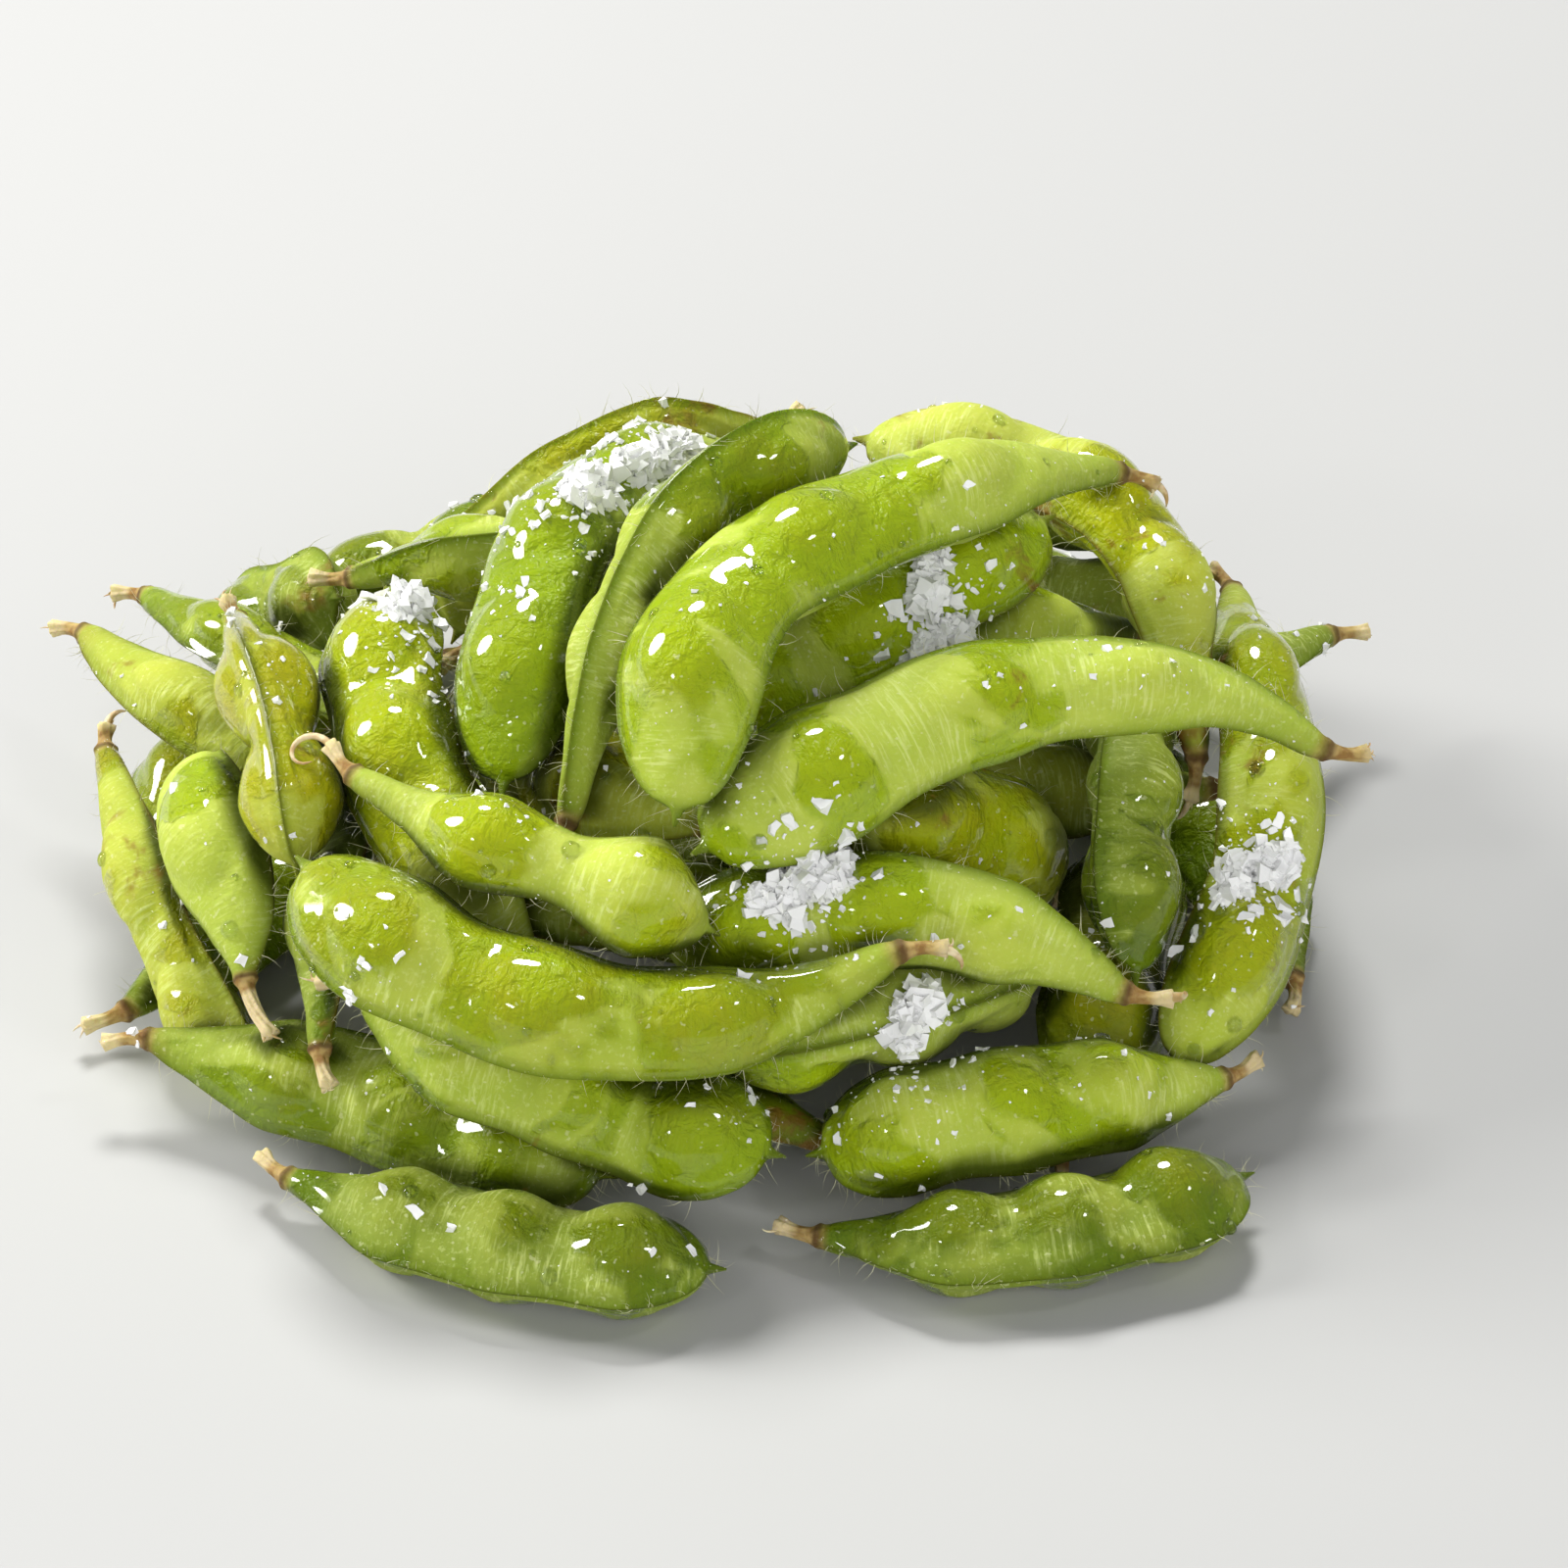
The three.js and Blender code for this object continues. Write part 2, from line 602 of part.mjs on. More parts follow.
// A flat square crystal in a given place, turned at random.
function crystal(place, random) {
  const size = () => CRYSTAL_EDGE * (0.6 + 0.7 * random());
  const turn = () => random() * Math.PI;
  const flake = new THREE.Matrix4()
    .makeRotationFromEuler(new THREE.Euler(0.35 * turn(), 0.35 * turn(), turn()))
    .setPosition(place);
  return solidOf(new THREE.BoxGeometry(size(), size(), CRYSTAL_THICKNESS), flake);
}

const SIDES = [
  [CLEARANCE, 0, 0],
  [-CLEARANCE, 0, 0],
  [0, CLEARANCE, 0],
  [0, -CLEARANCE, 0],
  [0, 0, CLEARANCE],
  [0, 0, -CLEARANCE],
];

// Takes away from a solid the room that a pod needs, on every side of the pod.
function cutAway(solid, pod) {
  const { min, max } = solid.boundingBox();
  const reach = new THREE.Box3(vector(min), vector(max)).expandByScalar(CLEARANCE);
  if (!reach.intersectsBox(new THREE.Box3().setFromObject(pod))) return solid;
  const podSolid = solidOf(pod.geometry, pod.matrixWorld);
  return SIDES.reduce((rest, side) => rest.subtract(podSolid.translate(side)), solid);
}

// One solid of crystals stuck together, lying just clear of the pods beneath.
function saltClump({ crystals, from, to }, pods, random) {
  const fall = vector(SALT_THROW);
  const ray = new THREE.Raycaster();
  const jitter = () => (random() - 0.5) * CRYSTAL_EDGE;
  const flakes = [];
  for (let i = 0; i < crystals; i++) {
    const aim = vector(from).lerp(vector(to), i / (crystals - 1));
    aim.add(new THREE.Vector3(jitter(), 0, jitter()));
    ray.set(aim.addScaledVector(fall, -50), fall);
    const hit = ray.intersectObjects(pods)[0];
    const outward = hit.face.normal.clone().transformDirection(hit.object.matrixWorld);
    flakes.push(crystal(hit.point.addScaledVector(outward, CRYSTAL_THICKNESS * (0.5 + random())), random));
  }
  const clear = pods.reduce((solid, pod) => cutAway(solid, pod), wasm.Manifold.union(flakes));
  return clear.decompose().reduce((best, piece) => (piece.volume() > best.volume() ? piece : best));
}

// ---- The heap ----

const bodies = Object.entries(PODS).map(([name, pod]) => looseBody(name, pod));
settle(bodies);
const pods = bodies.map((body) => podMesh(body.name, PODS[body.name], body));
const random = seededRandom(11);
const clumps = Object.entries(SALT_CLUMPS).map(([name, clump]) => {
  const mesh = new THREE.Mesh(geometryOf(saltClump(clump, pods, random)), saltMaterial());
  mesh.name = name;
  return mesh;
});

const heap = new THREE.Group();
heap.add(...pods, ...clumps);
const bounds = new THREE.Box3().setFromObject(heap, true);
const centre = bounds.getCenter(new THREE.Vector3());
heap.position.set(-centre.x, -centre.y, -bounds.min.z);

export default heap;
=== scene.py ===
"""A heap of boiled, salted edamame pods: husks, stalk fibres, seam down, salt, water drops and a plain stage."""

import json
import math
import zlib

import bmesh
import bpy
import numpy as np
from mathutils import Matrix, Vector
from mathutils.bvhtree import BVHTree

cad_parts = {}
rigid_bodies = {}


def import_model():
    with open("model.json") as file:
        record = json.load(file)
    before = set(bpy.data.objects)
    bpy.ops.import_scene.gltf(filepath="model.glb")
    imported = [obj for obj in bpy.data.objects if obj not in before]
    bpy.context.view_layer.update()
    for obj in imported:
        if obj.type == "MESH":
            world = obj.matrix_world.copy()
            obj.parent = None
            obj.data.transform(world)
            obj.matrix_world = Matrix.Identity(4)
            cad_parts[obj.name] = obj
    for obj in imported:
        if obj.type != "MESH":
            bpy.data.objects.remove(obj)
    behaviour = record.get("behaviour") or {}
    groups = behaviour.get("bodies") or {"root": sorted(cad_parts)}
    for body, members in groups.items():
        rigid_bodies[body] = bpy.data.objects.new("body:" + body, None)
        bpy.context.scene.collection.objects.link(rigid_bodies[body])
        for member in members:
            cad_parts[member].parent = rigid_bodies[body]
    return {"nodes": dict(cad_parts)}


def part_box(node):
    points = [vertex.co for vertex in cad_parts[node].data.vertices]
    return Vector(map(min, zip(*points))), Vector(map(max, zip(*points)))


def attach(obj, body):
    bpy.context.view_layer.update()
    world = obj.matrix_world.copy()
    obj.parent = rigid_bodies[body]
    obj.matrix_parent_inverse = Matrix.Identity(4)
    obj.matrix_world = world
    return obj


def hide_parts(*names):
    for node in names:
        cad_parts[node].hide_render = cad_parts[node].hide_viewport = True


bl_info = {
    "name": "Edamame heap",
    "version": (1, 0, 0),
    "blender": (4, 5, 0),
    "location": "3D View > Sidebar > Edamame",
    "description": "Grows the husks, down, salt and water of a heap of edamame pods on its solid frame",
    "category": "Add Mesh",
}

for start_up in list(bpy.data.objects):
    bpy.data.objects.remove(start_up)
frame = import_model()
bpy.context.view_layer.update()

MM = 0.001
CORNERS = 10  # corners of each cross-section of a solid pod
MERGE = 2e-6
PROBE = 16 * MM  # how far from a husk its neighbours still shade it
STALK_RINGS = 2  # cross-sections of a solid pod that lie in its stalk

# How each pod looks: how deep its green is, how yellow it has gone, and how stained it is, each 0 to 1.
COMPLEXIONS = {
    "crown_pod_1": (0.2, 0.15, 0.05),
    "crown_pod_2": (0.42, 0.05, 0.05),
    "crown_pod_3": (0.5, 0.2, 0.1),
    "crown_pod_4": (0.0, 0.5, 0.55),
    "crown_pod_5": (0.0, 0.15, 0.1),
    "front_pod_1": (0.42, 0.3, 0.05),
    "front_pod_2": (0.0, 0.35, 0.1),
    "front_pod_3": (0.0, 0.15, 0.1),
    "front_pod_4": (0.05, 0.05, 0.15),
    "front_pod_5": (0.15, 0.15, 0.1),
    "front_pod_6": (0.6, 0.2, 0.5),
    "front_pod_7": (0.45, 0.15, 0.1),
    "front_pod_8": (0.6, 0.1, 0.2),
    "right_pod_1": (0.85, 0.1, 0.1),
    "right_pod_2": (0.25, 0.35, 0.35),
    "right_pod_3": (0.9, 0.1, 0.1),
    "right_pod_4": (0.25, 0.45, 0.3),
    "left_pod_1": (0.2, 0.35, 0.25),
    "left_pod_3": (0.2, 0.2, 0.1),
    "left_pod_4": (0.45, 0.6, 0.15),
    "left_pod_5": (0.5, 0.45, 0.4),
    "left_pod_6": (0.5, 0.2, 0.1),
    "left_pod_7": (0.4, 0.5, 0.4),
    "left_pod_8": (0.2, 0.15, 0.15),
    "back_pod_1": (0.4, 0.55, 0.5),
    "core_pod_1": (0.0, 0.1, 0.4),
    "core_pod_2": (0.2, 0.2, 0.2),
    "core_pod_3": (0.45, 0.6, 0.4),
}
# Where each pod is wet: middle and half length of each wet stretch, from 0 at the stalk to 1 at the nose.
WET_STRETCHES = {
    "crown_pod_1": ((0.47, 0.12), (0.88, 0.17)),
    "crown_pod_2": ((0.72, 0.34),),
    "crown_pod_3": ((0.7, 0.12),),
    "crown_pod_4": ((0.45, 0.1),),
    "crown_pod_5": ((0.5, 0.1), (0.8, 0.05), (1.0, 0.05)),
    "front_pod_1": ((0.3, 0.15), (0.6, 0.2), (0.88, 0.15)),
    "front_pod_2": ((0.42, 0.16), (0.85, 0.14)),
    "front_pod_3": ((0.55, 0.08), (0.85, 0.1)),
    "front_pod_4": ((0.9, 0.06),),
    "left_pod_1": ((0.5, 0.2), (0.85, 0.12)),
    "left_pod_4": ((0.5, 0.6),),
    "left_pod_8": ((0.7, 0.12),),
    "right_pod_2": ((0.3, 0.2), (0.75, 0.12)),
    "core_pod_1": ((0.3, 0.1), (0.75, 0.2)),
}


# Stalks that end in a long curl: its length and thickness in millimetres, and how far it turns.
CURLS = {
    "front_pod_2": (8.5, 0.42, 4.4),
    "crown_pod_1": (3.0, 0.5, 1.3),
    "crown_pod_4": (4.5, 0.4, 2.6),
    "front_pod_3": (3.4, 0.6, 1.5),
    "front_pod_1": (3.2, 0.5, 1.6),
    "left_pod_7": (3.0, 0.5, 1.4),
}
GROUPS = ("crown", "front", "right", "left", "back", "core", "base")

# ---- Sizes and colours that a user would change ----


class EDAMAME_PG_pods(bpy.types.PropertyGroup):
    stations: bpy.props.IntProperty(
        name="Stations", description="Cross-sections along a pod", default=104, min=40, max=200
    )
    sides: bpy.props.IntProperty(
        name="Sides", description="Points around a pod", default=56, min=24, max=96
    )
    ridge: bpy.props.FloatProperty(
        name="Seam ridge", description="Height of the seam's ridge", default=0.36 * MM, unit="LENGTH", precision=5
    )
    bean: bpy.props.FloatProperty(
        name="Bean relief", description="How far a bean shows through the husk", default=0.85 * MM, unit="LENGTH",
        precision=5,
    )
    waviness: bpy.props.FloatProperty(
        name="Waviness", description="Size of the husk's soft dents", default=0.11 * MM, unit="LENGTH", precision=5
    )
    bright: bpy.props.FloatVectorProperty(
        name="Bright green", description="Husk of a fresh pod", subtype="COLOR", default=(0.31, 0.43, 0.002)
    )
    deep: bpy.props.FloatVectorProperty(
        name="Deep green", description="Husk of a greener pod", subtype="COLOR", default=(0.1, 0.165, 0.002)
    )
    yellow: bpy.props.FloatVectorProperty(
        name="Yellow", description="Husk of an older pod", subtype="COLOR", default=(0.46, 0.4, 0.002)
    )
    downy: bpy.props.FloatVectorProperty(
        name="Downy green", description="Husk where its down is dry", subtype="COLOR", default=(0.54, 0.62, 0.13)
    )
    stain: bpy.props.FloatVectorProperty(
        name="Stain", description="Brown stains on a husk", subtype="COLOR", default=(0.22, 0.085, 0.02)
    )
    stalk: bpy.props.FloatVectorProperty(
        name="Stalk", description="Dried stalk", subtype="COLOR", default=(0.44, 0.31, 0.12)
    )


class EDAMAME_PG_fibres(bpy.types.PropertyGroup):
    length: bpy.props.FloatProperty(
        name="Length", description="Length of a frayed fibre", default=1.7 * MM, unit="LENGTH", precision=5
    )
    radius: bpy.props.FloatProperty(
        name="Radius", description="Half thickness of a frayed fibre", default=0.16 * MM, unit="LENGTH", precision=5
    )


class EDAMAME_PG_down(bpy.types.PropertyGroup):
    length: bpy.props.FloatProperty(
        name="Length", description="Length of a hair", default=1.7 * MM, unit="LENGTH", precision=5
    )
    radius: bpy.props.FloatProperty(
        name="Radius", description="Half thickness of a hair's root", default=0.032 * MM, unit="LENGTH", precision=6
    )
    density: bpy.props.FloatProperty(
        name="Hairs per square metre", description="Along a seam", default=3.0e6
    )
    seed: bpy.props.IntProperty(name="Seed", description="Changes where the hairs stand", default=3)


class EDAMAME_PG_salt(bpy.types.PropertyGroup):
    flake: bpy.props.FloatProperty(
        name="Flake", description="Edge of a loose flake", default=0.95 * MM, unit="LENGTH", precision=5
    )
    sparse: bpy.props.FloatProperty(
        name="Sparse flakes per square metre", description="On the open pods", default=4.2e4
    )
    dense: bpy.props.FloatProperty(
        name="Dense flakes per square metre", description="Around the clumps", default=1.3e6
    )
    crust: bpy.props.FloatProperty(
        name="Crust flakes per square metre", description="On the clumps", default=2.4e6
    )
    colour: bpy.props.FloatVectorProperty(
        name="Colour", description="Colour of the crystals", subtype="COLOR", default=(0.98, 0.985, 0.975)
    )
    seed: bpy.props.IntProperty(name="Seed", description="Changes where the flakes fall", default=8)


class EDAMAME_PG_water(bpy.types.PropertyGroup):
    radius: bpy.props.FloatProperty(
        name="Radius", description="Radius of a middling drop", default=0.75 * MM, unit="LENGTH", precision=5
    )
    density: bpy.props.FloatProperty(
        name="Drops per square metre", description="On the open pods", default=9e3
    )
    seed: bpy.props.IntProperty(name="Seed", description="Changes where the drops lie", default=5)


class EDAMAME_PG_stage(bpy.types.PropertyGroup):
    elevation: bpy.props.FloatProperty(
        name="Elevation", description="Camera's height above the table", default=math.radians(36), subtype="ANGLE"
    )
    distance: bpy.props.FloatProperty(
        name="Distance", description="From the camera to what it looks at", default=0.62, unit="LENGTH"
    )
    lens: bpy.props.FloatProperty(name="Lens", description="Focal length in millimetres", default=136.7)
    target: bpy.props.FloatVectorProperty(
        name="Target", description="What the camera looks at", default=(0.0072, 0.0061, 0.0128), unit="LENGTH",
        precision=5,
    )
    key: bpy.props.FloatProperty(name="Key light", description="Window on the left", default=15.5, unit="POWER")
    sky: bpy.props.FloatProperty(name="Sky light", description="Window above and behind", default=14.0, unit="POWER")
    glint: bpy.props.FloatProperty(name="Glints", description="Two small lamps", default=1.1, unit="POWER")
    fill: bpy.props.FloatProperty(name="Fill light", description="White card in front", default=18.5, unit="POWER")
    ambient: bpy.props.FloatProperty(name="Ambient", description="Light from all round", default=0.15)
    floor: bpy.props.FloatVectorProperty(
        name="Table", description="Colour of the table", subtype="COLOR", default=(0.46, 0.46, 0.456)
    )


# ---- Shader arithmetic ----


class Field:
    """A number that varies over a surface. Arithmetic on it adds Math nodes."""

    def __init__(self, tree, socket):
        self.tree = tree
        self.socket = socket

    def math(self, operation, *values):
        node = self.tree.nodes.new("ShaderNodeMath")
        node.operation = operation
        for socket, value in zip(node.inputs, values):
            connect(self.tree, value, socket)
        return Field(self.tree, node.outputs[0])

    def __add__(self, other):
        return self.math("ADD", self, other)

    def __sub__(self, other):
        return self.math("SUBTRACT", self, other)

    def __rsub__(self, other):
        return self.math("SUBTRACT", other, self)

    def __mul__(self, other):
        return self.math("MULTIPLY", self, other)

    def __pow__(self, other):
        return self.math("POWER", self, other)

    __radd__ = __add__
    __rmul__ = __mul__

    def least(self, other):
        return self.math("MINIMUM", self, other)

    def greatest(self, other):
        return self.math("MAXIMUM", self, other)


def connect(tree, value, socket):
    """Links or sets a socket, whichever the value calls for."""
    if isinstance(value, Field):
        tree.links.new(value.socket, socket)
    elif isinstance(value, bpy.types.NodeSocket):
        tree.links.new(value, socket)
    else:
        socket.default_value = value


class NodeBench:
    """Adds nodes to a tree: a node's type, its settings, and the values or links of its sockets."""

    def __init__(self, tree):
        self.tree = tree

    def node(self, kind, settings=None, **sockets):
        node = self.tree.nodes.new(kind)
        for name, value in (settings or {}).items():
            setattr(node, name, value)
        for name, value in sockets.items():
            wanted = name.replace("_", " ").lower()
            socket = next(s for s in node.inputs if s.enabled and s.name.lower() == wanted)
            connect(self.tree, value, socket)
        return node


class Finish(NodeBench):
    """A material being made."""

    def __init__(self, name):
        self.material = bpy.data.materials.new(name)
        self.material.use_nodes = True
        super().__init__(self.material.node_tree)
        self.tree.nodes.clear()
        self.surface = self.node("ShaderNodeBsdfPrincipled")
        output = self.tree.nodes.new("ShaderNodeOutputMaterial")
        self.tree.links.new(self.surface.outputs[0], output.inputs["Surface"])

    def set(self, **sockets):
        for name, value in sockets.items():
            connect(self.tree, value, self.surface.inputs[name.replace("_", " ")])

    def place(self):
        return self.node("ShaderNodeTexCoord").outputs["Object"]

    def attribute(self, name):
        return Field(self.tree, self.node("ShaderNodeAttribute", {"attribute_name": name}).outputs["Fac"])

    def noise(self, coordinates, scale, detail=2.0, roughness=0.5, distortion=0.0):
        node = self.node(
            "ShaderNodeTexNoise", vector=coordinates, scale=scale, detail=detail, roughness=roughness,
            distortion=distortion,
        )
        return Field(self.tree, node.outputs[0])

    def scaled(self, coordinates, factors):
        node = self.tree.nodes.new("ShaderNodeVectorMath")
        node.operation = "MULTIPLY"
        connect(self.tree, coordinates, node.inputs[0])
        node.inputs[1].default_value = factors
        return node.outputs[0]

    def rise(self, value, low, high):
        """0 below low, 1 above high, and a smooth rise between them."""
        node = self.node(
            "ShaderNodeMapRange", {"interpolation_type": "SMOOTHSTEP"}, value=value, from_min=low, from_max=high
        )
        return Field(self.tree, node.outputs[0])

    def blend(self, factor, first, second, kind="MIX"):
        node = self.tree.nodes.new("ShaderNodeMix")
        node.data_type = "RGBA"
        node.blend_type = kind
        for name, value in (("Factor", factor), ("A", first), ("B", second)):
            wanted = "VALUE" if name == "Factor" else "RGBA"
            socket = next(s for s in node.inputs if s.name == name and s.type == wanted)
            connect(self.tree, with_alpha(value), socket)
        return next(s for s in node.outputs if s.type == "RGBA")

    def bump(self, height):
        node = self.node("ShaderNodeBump", strength=1.0, distance=1.0, height=height)
        return node.outputs[0]


def with_alpha(value):
    if isinstance(value, (Field, bpy.types.NodeSocket, float)):
        return value
    return (*value, 1.0)


# ---- Geometry trees ----


class Growth(NodeBench):
    """A Geometry Nodes tree being made, which grows something over a surface."""

    def __init__(self, name):
        super().__init__(bpy.data.node_groups.new(name, "GeometryNodeTree"))
        self.tree.interface.new_socket("Surface", in_out="INPUT", socket_type="NodeSocketGeometry")
        self.tree.interface.new_socket("Grown", in_out="OUTPUT", socket_type="NodeSocketGeometry")
        self.entry = self.tree.nodes.new("NodeGroupInput")
        self.exit = self.tree.nodes.new("NodeGroupOutput")
        self.values = {}

    @property
    def surface(self):
        return self.entry.outputs["Surface"]

    def size(self, name, value):
        """A named input of the tree."""
        kind = "NodeSocketInt" if isinstance(value, int) else "NodeSocketFloat"
        item = self.tree.interface.new_socket(name, in_out="INPUT", socket_type=kind)
        self.values[item.identifier] = value
        return Field(self.tree, self.entry.outputs[name])

    def attribute(self, name):
        node = self.node("GeometryNodeInputNamedAttribute", {"data_type": "FLOAT"}, name=name)
        return Field(self.tree, node.outputs[0])

    def height(self):
        place = self.node("GeometryNodeInputPosition").outputs[0]
        return Field(self.tree, self.node("ShaderNodeSeparateXYZ", vector=place).outputs[2])

    def chance(self, low, high, seed, kind="FLOAT"):
        node = self.node("FunctionNodeRandomValue", {"data_type": kind}, min=low, max=high, seed=seed)
        return next(s for s in node.outputs if s.enabled)

    def tilted(self, rotation, low, high, seed):
        euler = self.chance(low, high, seed, "FLOAT_VECTOR")
        turn = self.node("FunctionNodeEulerToRotation", euler=euler).outputs[0]
        node = self.node("FunctionNodeRotateRotation", {"rotation_space": "LOCAL"}, rotation=rotation, rotate_by=turn)
        return node.outputs[0]

    def scatter(self, surface, density, seed, shape, rotation_range, scale, pick=False):
        """Sets copies of a shape, or of each of several in turn, on a surface, turned at random."""
        points = self.node("GeometryNodeDistributePointsOnFaces", mesh=surface, density=density, seed=seed)
        rotation = self.tilted(points.outputs["Rotation"], *rotation_range, 1)
        return self.node(
            "GeometryNodeInstanceOnPoints", points=points.outputs["Points"], instance=shape, pick_instance=pick,
            rotation=rotation, scale=scale,
        ).outputs[0]

    def finish(self, geometry, material):
        real = self.node("GeometryNodeRealizeInstances", geometry=geometry).outputs[0]
        coloured = self.node("GeometryNodeSetMaterial", geometry=real, material=material).outputs[0]
        self.tree.links.new(coloured, self.exit.inputs[0])

    def grow(self, name, base):
        """Runs the tree on a mesh and gives what grew as a plain piece."""
        host = bpy.data.objects.new(name + "_host", base)
        bpy.context.scene.collection.objects.link(host)
        modifier = host.modifiers.new("growth", "NODES")
        modifier.node_group = self.tree
        for identifier, value in self.values.items():
            modifier[identifier] = value
        graph = bpy.context.evaluated_depsgraph_get()
        mesh = bpy.data.meshes.new_from_object(host.evaluated_get(graph), depsgraph=graph)
        bpy.data.objects.remove(host)
        if not mesh.polygons:
            raise RuntimeError(f"nothing grew for {name}")
        return placed(name, mesh)


def placed(name, mesh):
    mesh.name = name
    piece = bpy.data.objects.new(name, mesh)
    bpy.context.scene.collection.objects.link(piece)
    return piece


# ---- Reading the solid pods ----


def rings_of(solid):
    """A solid pod's rings of corners, from its stalk to its beak, with the two end points."""
    poles = [v for v in solid.verts if len(v.link_edges) == CORNERS]
    if len(poles) != 2:
        raise RuntimeError("a solid pod should have a point at each end")
    seen = {poles[0]}
    layer = [poles[0]]
    rings = []
    while layer:
        rings.append(layer)
        nearby = {edge.other_vert(v) for v in layer for edge in v.link_edges} - seen
        seen |= nearby
        layer = sorted(nearby, key=lambda corner: corner.index)
    ends = [np.array(ring[0].co) for ring in (rings[0], rings[-1])]
    rings = [np.array([v.co for v in ring]) for ring in rings[1:-1]]
    if any(len(ring) != CORNERS for ring in rings):
        raise RuntimeError("a solid pod's rings should have equal numbers of corners")
    first_gap = np.linalg.norm(ends[0] - rings[0].mean(0))
    last_gap = np.linalg.norm(ends[1] - rings[-1].mean(0))
    if first_gap > last_gap:
        rings.reverse()
        ends.reverse()
    return rings, ends


def in_order(ring, along):
    """A ring's corners in order round the direction along."""
    arms = ring - ring.mean(0)
    side = arms[0] - along * (arms[0] @ along)
    side /= np.linalg.norm(side)
    other = np.cross(along, side)
    return ring[np.argsort(np.arctan2(arms @ other, arms @ side))]


def section_of(ring):
    """Centre and the two half axes of a ring that starts at a seam; corners on the table don't count."""
    lifted = ring[:, 2] > 1e-6
    half = CORNERS // 2
    pairs = [(i, i + half) for i in range(half) if lifted[i] and lifted[i + half]] or [(0, half)]
    centre = np.mean([(ring[a] + ring[b]) / 2 for a, b in pairs], axis=0)
    across = (ring[0] - ring[half]) / 2
    upper, lower = ring[[2, 3]].mean(0), ring[[7, 8]].mean(0)
    rise = math.sin(math.radians(72))
    through = (upper - centre) / rise if upper[2] > lower[2] else (centre - lower) / rise
    return centre, across, through


def skeleton(node):
    """A pod's cross-sections, read from its solid: centres, half axes and the two end points."""
    solid = bmesh.new()
    solid.from_mesh(node.data)
    bmesh.ops.remove_doubles(solid, verts=solid.verts, dist=MERGE)
    solid.verts.index_update()
    rings, ends = rings_of(solid)
    solid.free()
    middles = np.array([ring.mean(0) for ring in rings])
    alongs = np.gradient(middles, axis=0)
    alongs /= np.linalg.norm(alongs, axis=1)[:, None]
    rings = [in_order(ring, along) for ring, along in zip(rings, alongs)]
    half = CORNERS // 2
    spans = [np.linalg.norm(ring[:half] - ring[half:], axis=1).max() for ring in rings]
    widest = int(np.argmax(spans))
    diameters = rings[widest][:half] - rings[widest][half:]
    start = int(np.argmax(np.linalg.norm(diameters, axis=1)))
    outside = middles[widest] - (middles[0] + middles[-1]) / 2
    if diameters[start] @ outside < 0:
        start += half
    rings[widest] = np.roll(rings[widest], -start, axis=0)
    for order in (range(widest - 1, -1, -1), range(widest + 1, len(rings))):
        known = rings[widest]
        for i in order:
            arm = known[0] - known.mean(0)
            reach = (rings[i] - rings[i].mean(0)) @ arm
            rings[i] = np.roll(rings[i], -int(np.argmax(reach)), axis=0)
            known = rings[i]
    sections = [section_of(ring) for ring in rings]
    centres, acrosses, throughs = (np.array(part) for part in zip(*sections))
    return centres, acrosses, throughs, ends


# ---- Growing a husk ----


def smooth_through(x, y, at):
    """A curve through the points that never overshoots them (monotone cubic)."""
    y = np.asarray(y, float)
    single = y.ndim == 1
    y = y[:, None] if single else y
    gaps = np.diff(x)
    slopes = np.diff(y, axis=0) / gaps[:, None]
    tangents = np.zeros_like(y)
    tangents[1:-1] = np.where(
        slopes[:-1] * slopes[1:] > 0,
        2 * slopes[:-1] * slopes[1:] / np.where(slopes[:-1] + slopes[1:] == 0, 1, slopes[:-1] + slopes[1:]),
        0,
    )
    tangents[0], tangents[-1] = slopes[0], slopes[-1]
    return hermite(x, y, tangents, at, single)


def round_through(x, y, at):
    """A curve through the points that rounds their corners (finite differences)."""
    tangents = np.gradient(y, x, axis=0)
    return hermite(x, y, tangents, at, False)


def hermite(x, y, tangents, at, single):
    i = np.clip(np.searchsorted(x, at, side="right") - 1, 0, len(x) - 2)
    gap = (x[i + 1] - x[i])[:, None]
    t = ((at - x[i])[:, None]) / gap
    result = (
        (2 * t**3 - 3 * t**2 + 1) * y[i]
        + (t**3 - 2 * t**2 + t) * gap * tangents[i]
        + (-2 * t**3 + 3 * t**2) * y[i + 1]
        + (t**3 - t**2) * gap * tangents[i + 1]
    )
    return result[:, 0] if single else result


def unit(vectors):
    return vectors / np.maximum(np.linalg.norm(vectors, axis=-1, keepdims=True), 1e-12)


def name_seed(name):
    return zlib.crc32(name.encode()) % 100000


def soft_waves(rng, along, angle):
    """A gentle unevenness over a husk, from -1 to 1 or so."""
    total = np.zeros(np.broadcast(along, angle).shape)
    for _ in range(9):
        length = rng.uniform(9, 34) * MM
        turns = rng.integers(0, 4)
        total += rng.uniform(0.4, 1) * np.sin(2 * np.pi * along / length + turns * angle + rng.uniform(0, 6.28))
    return total / 3


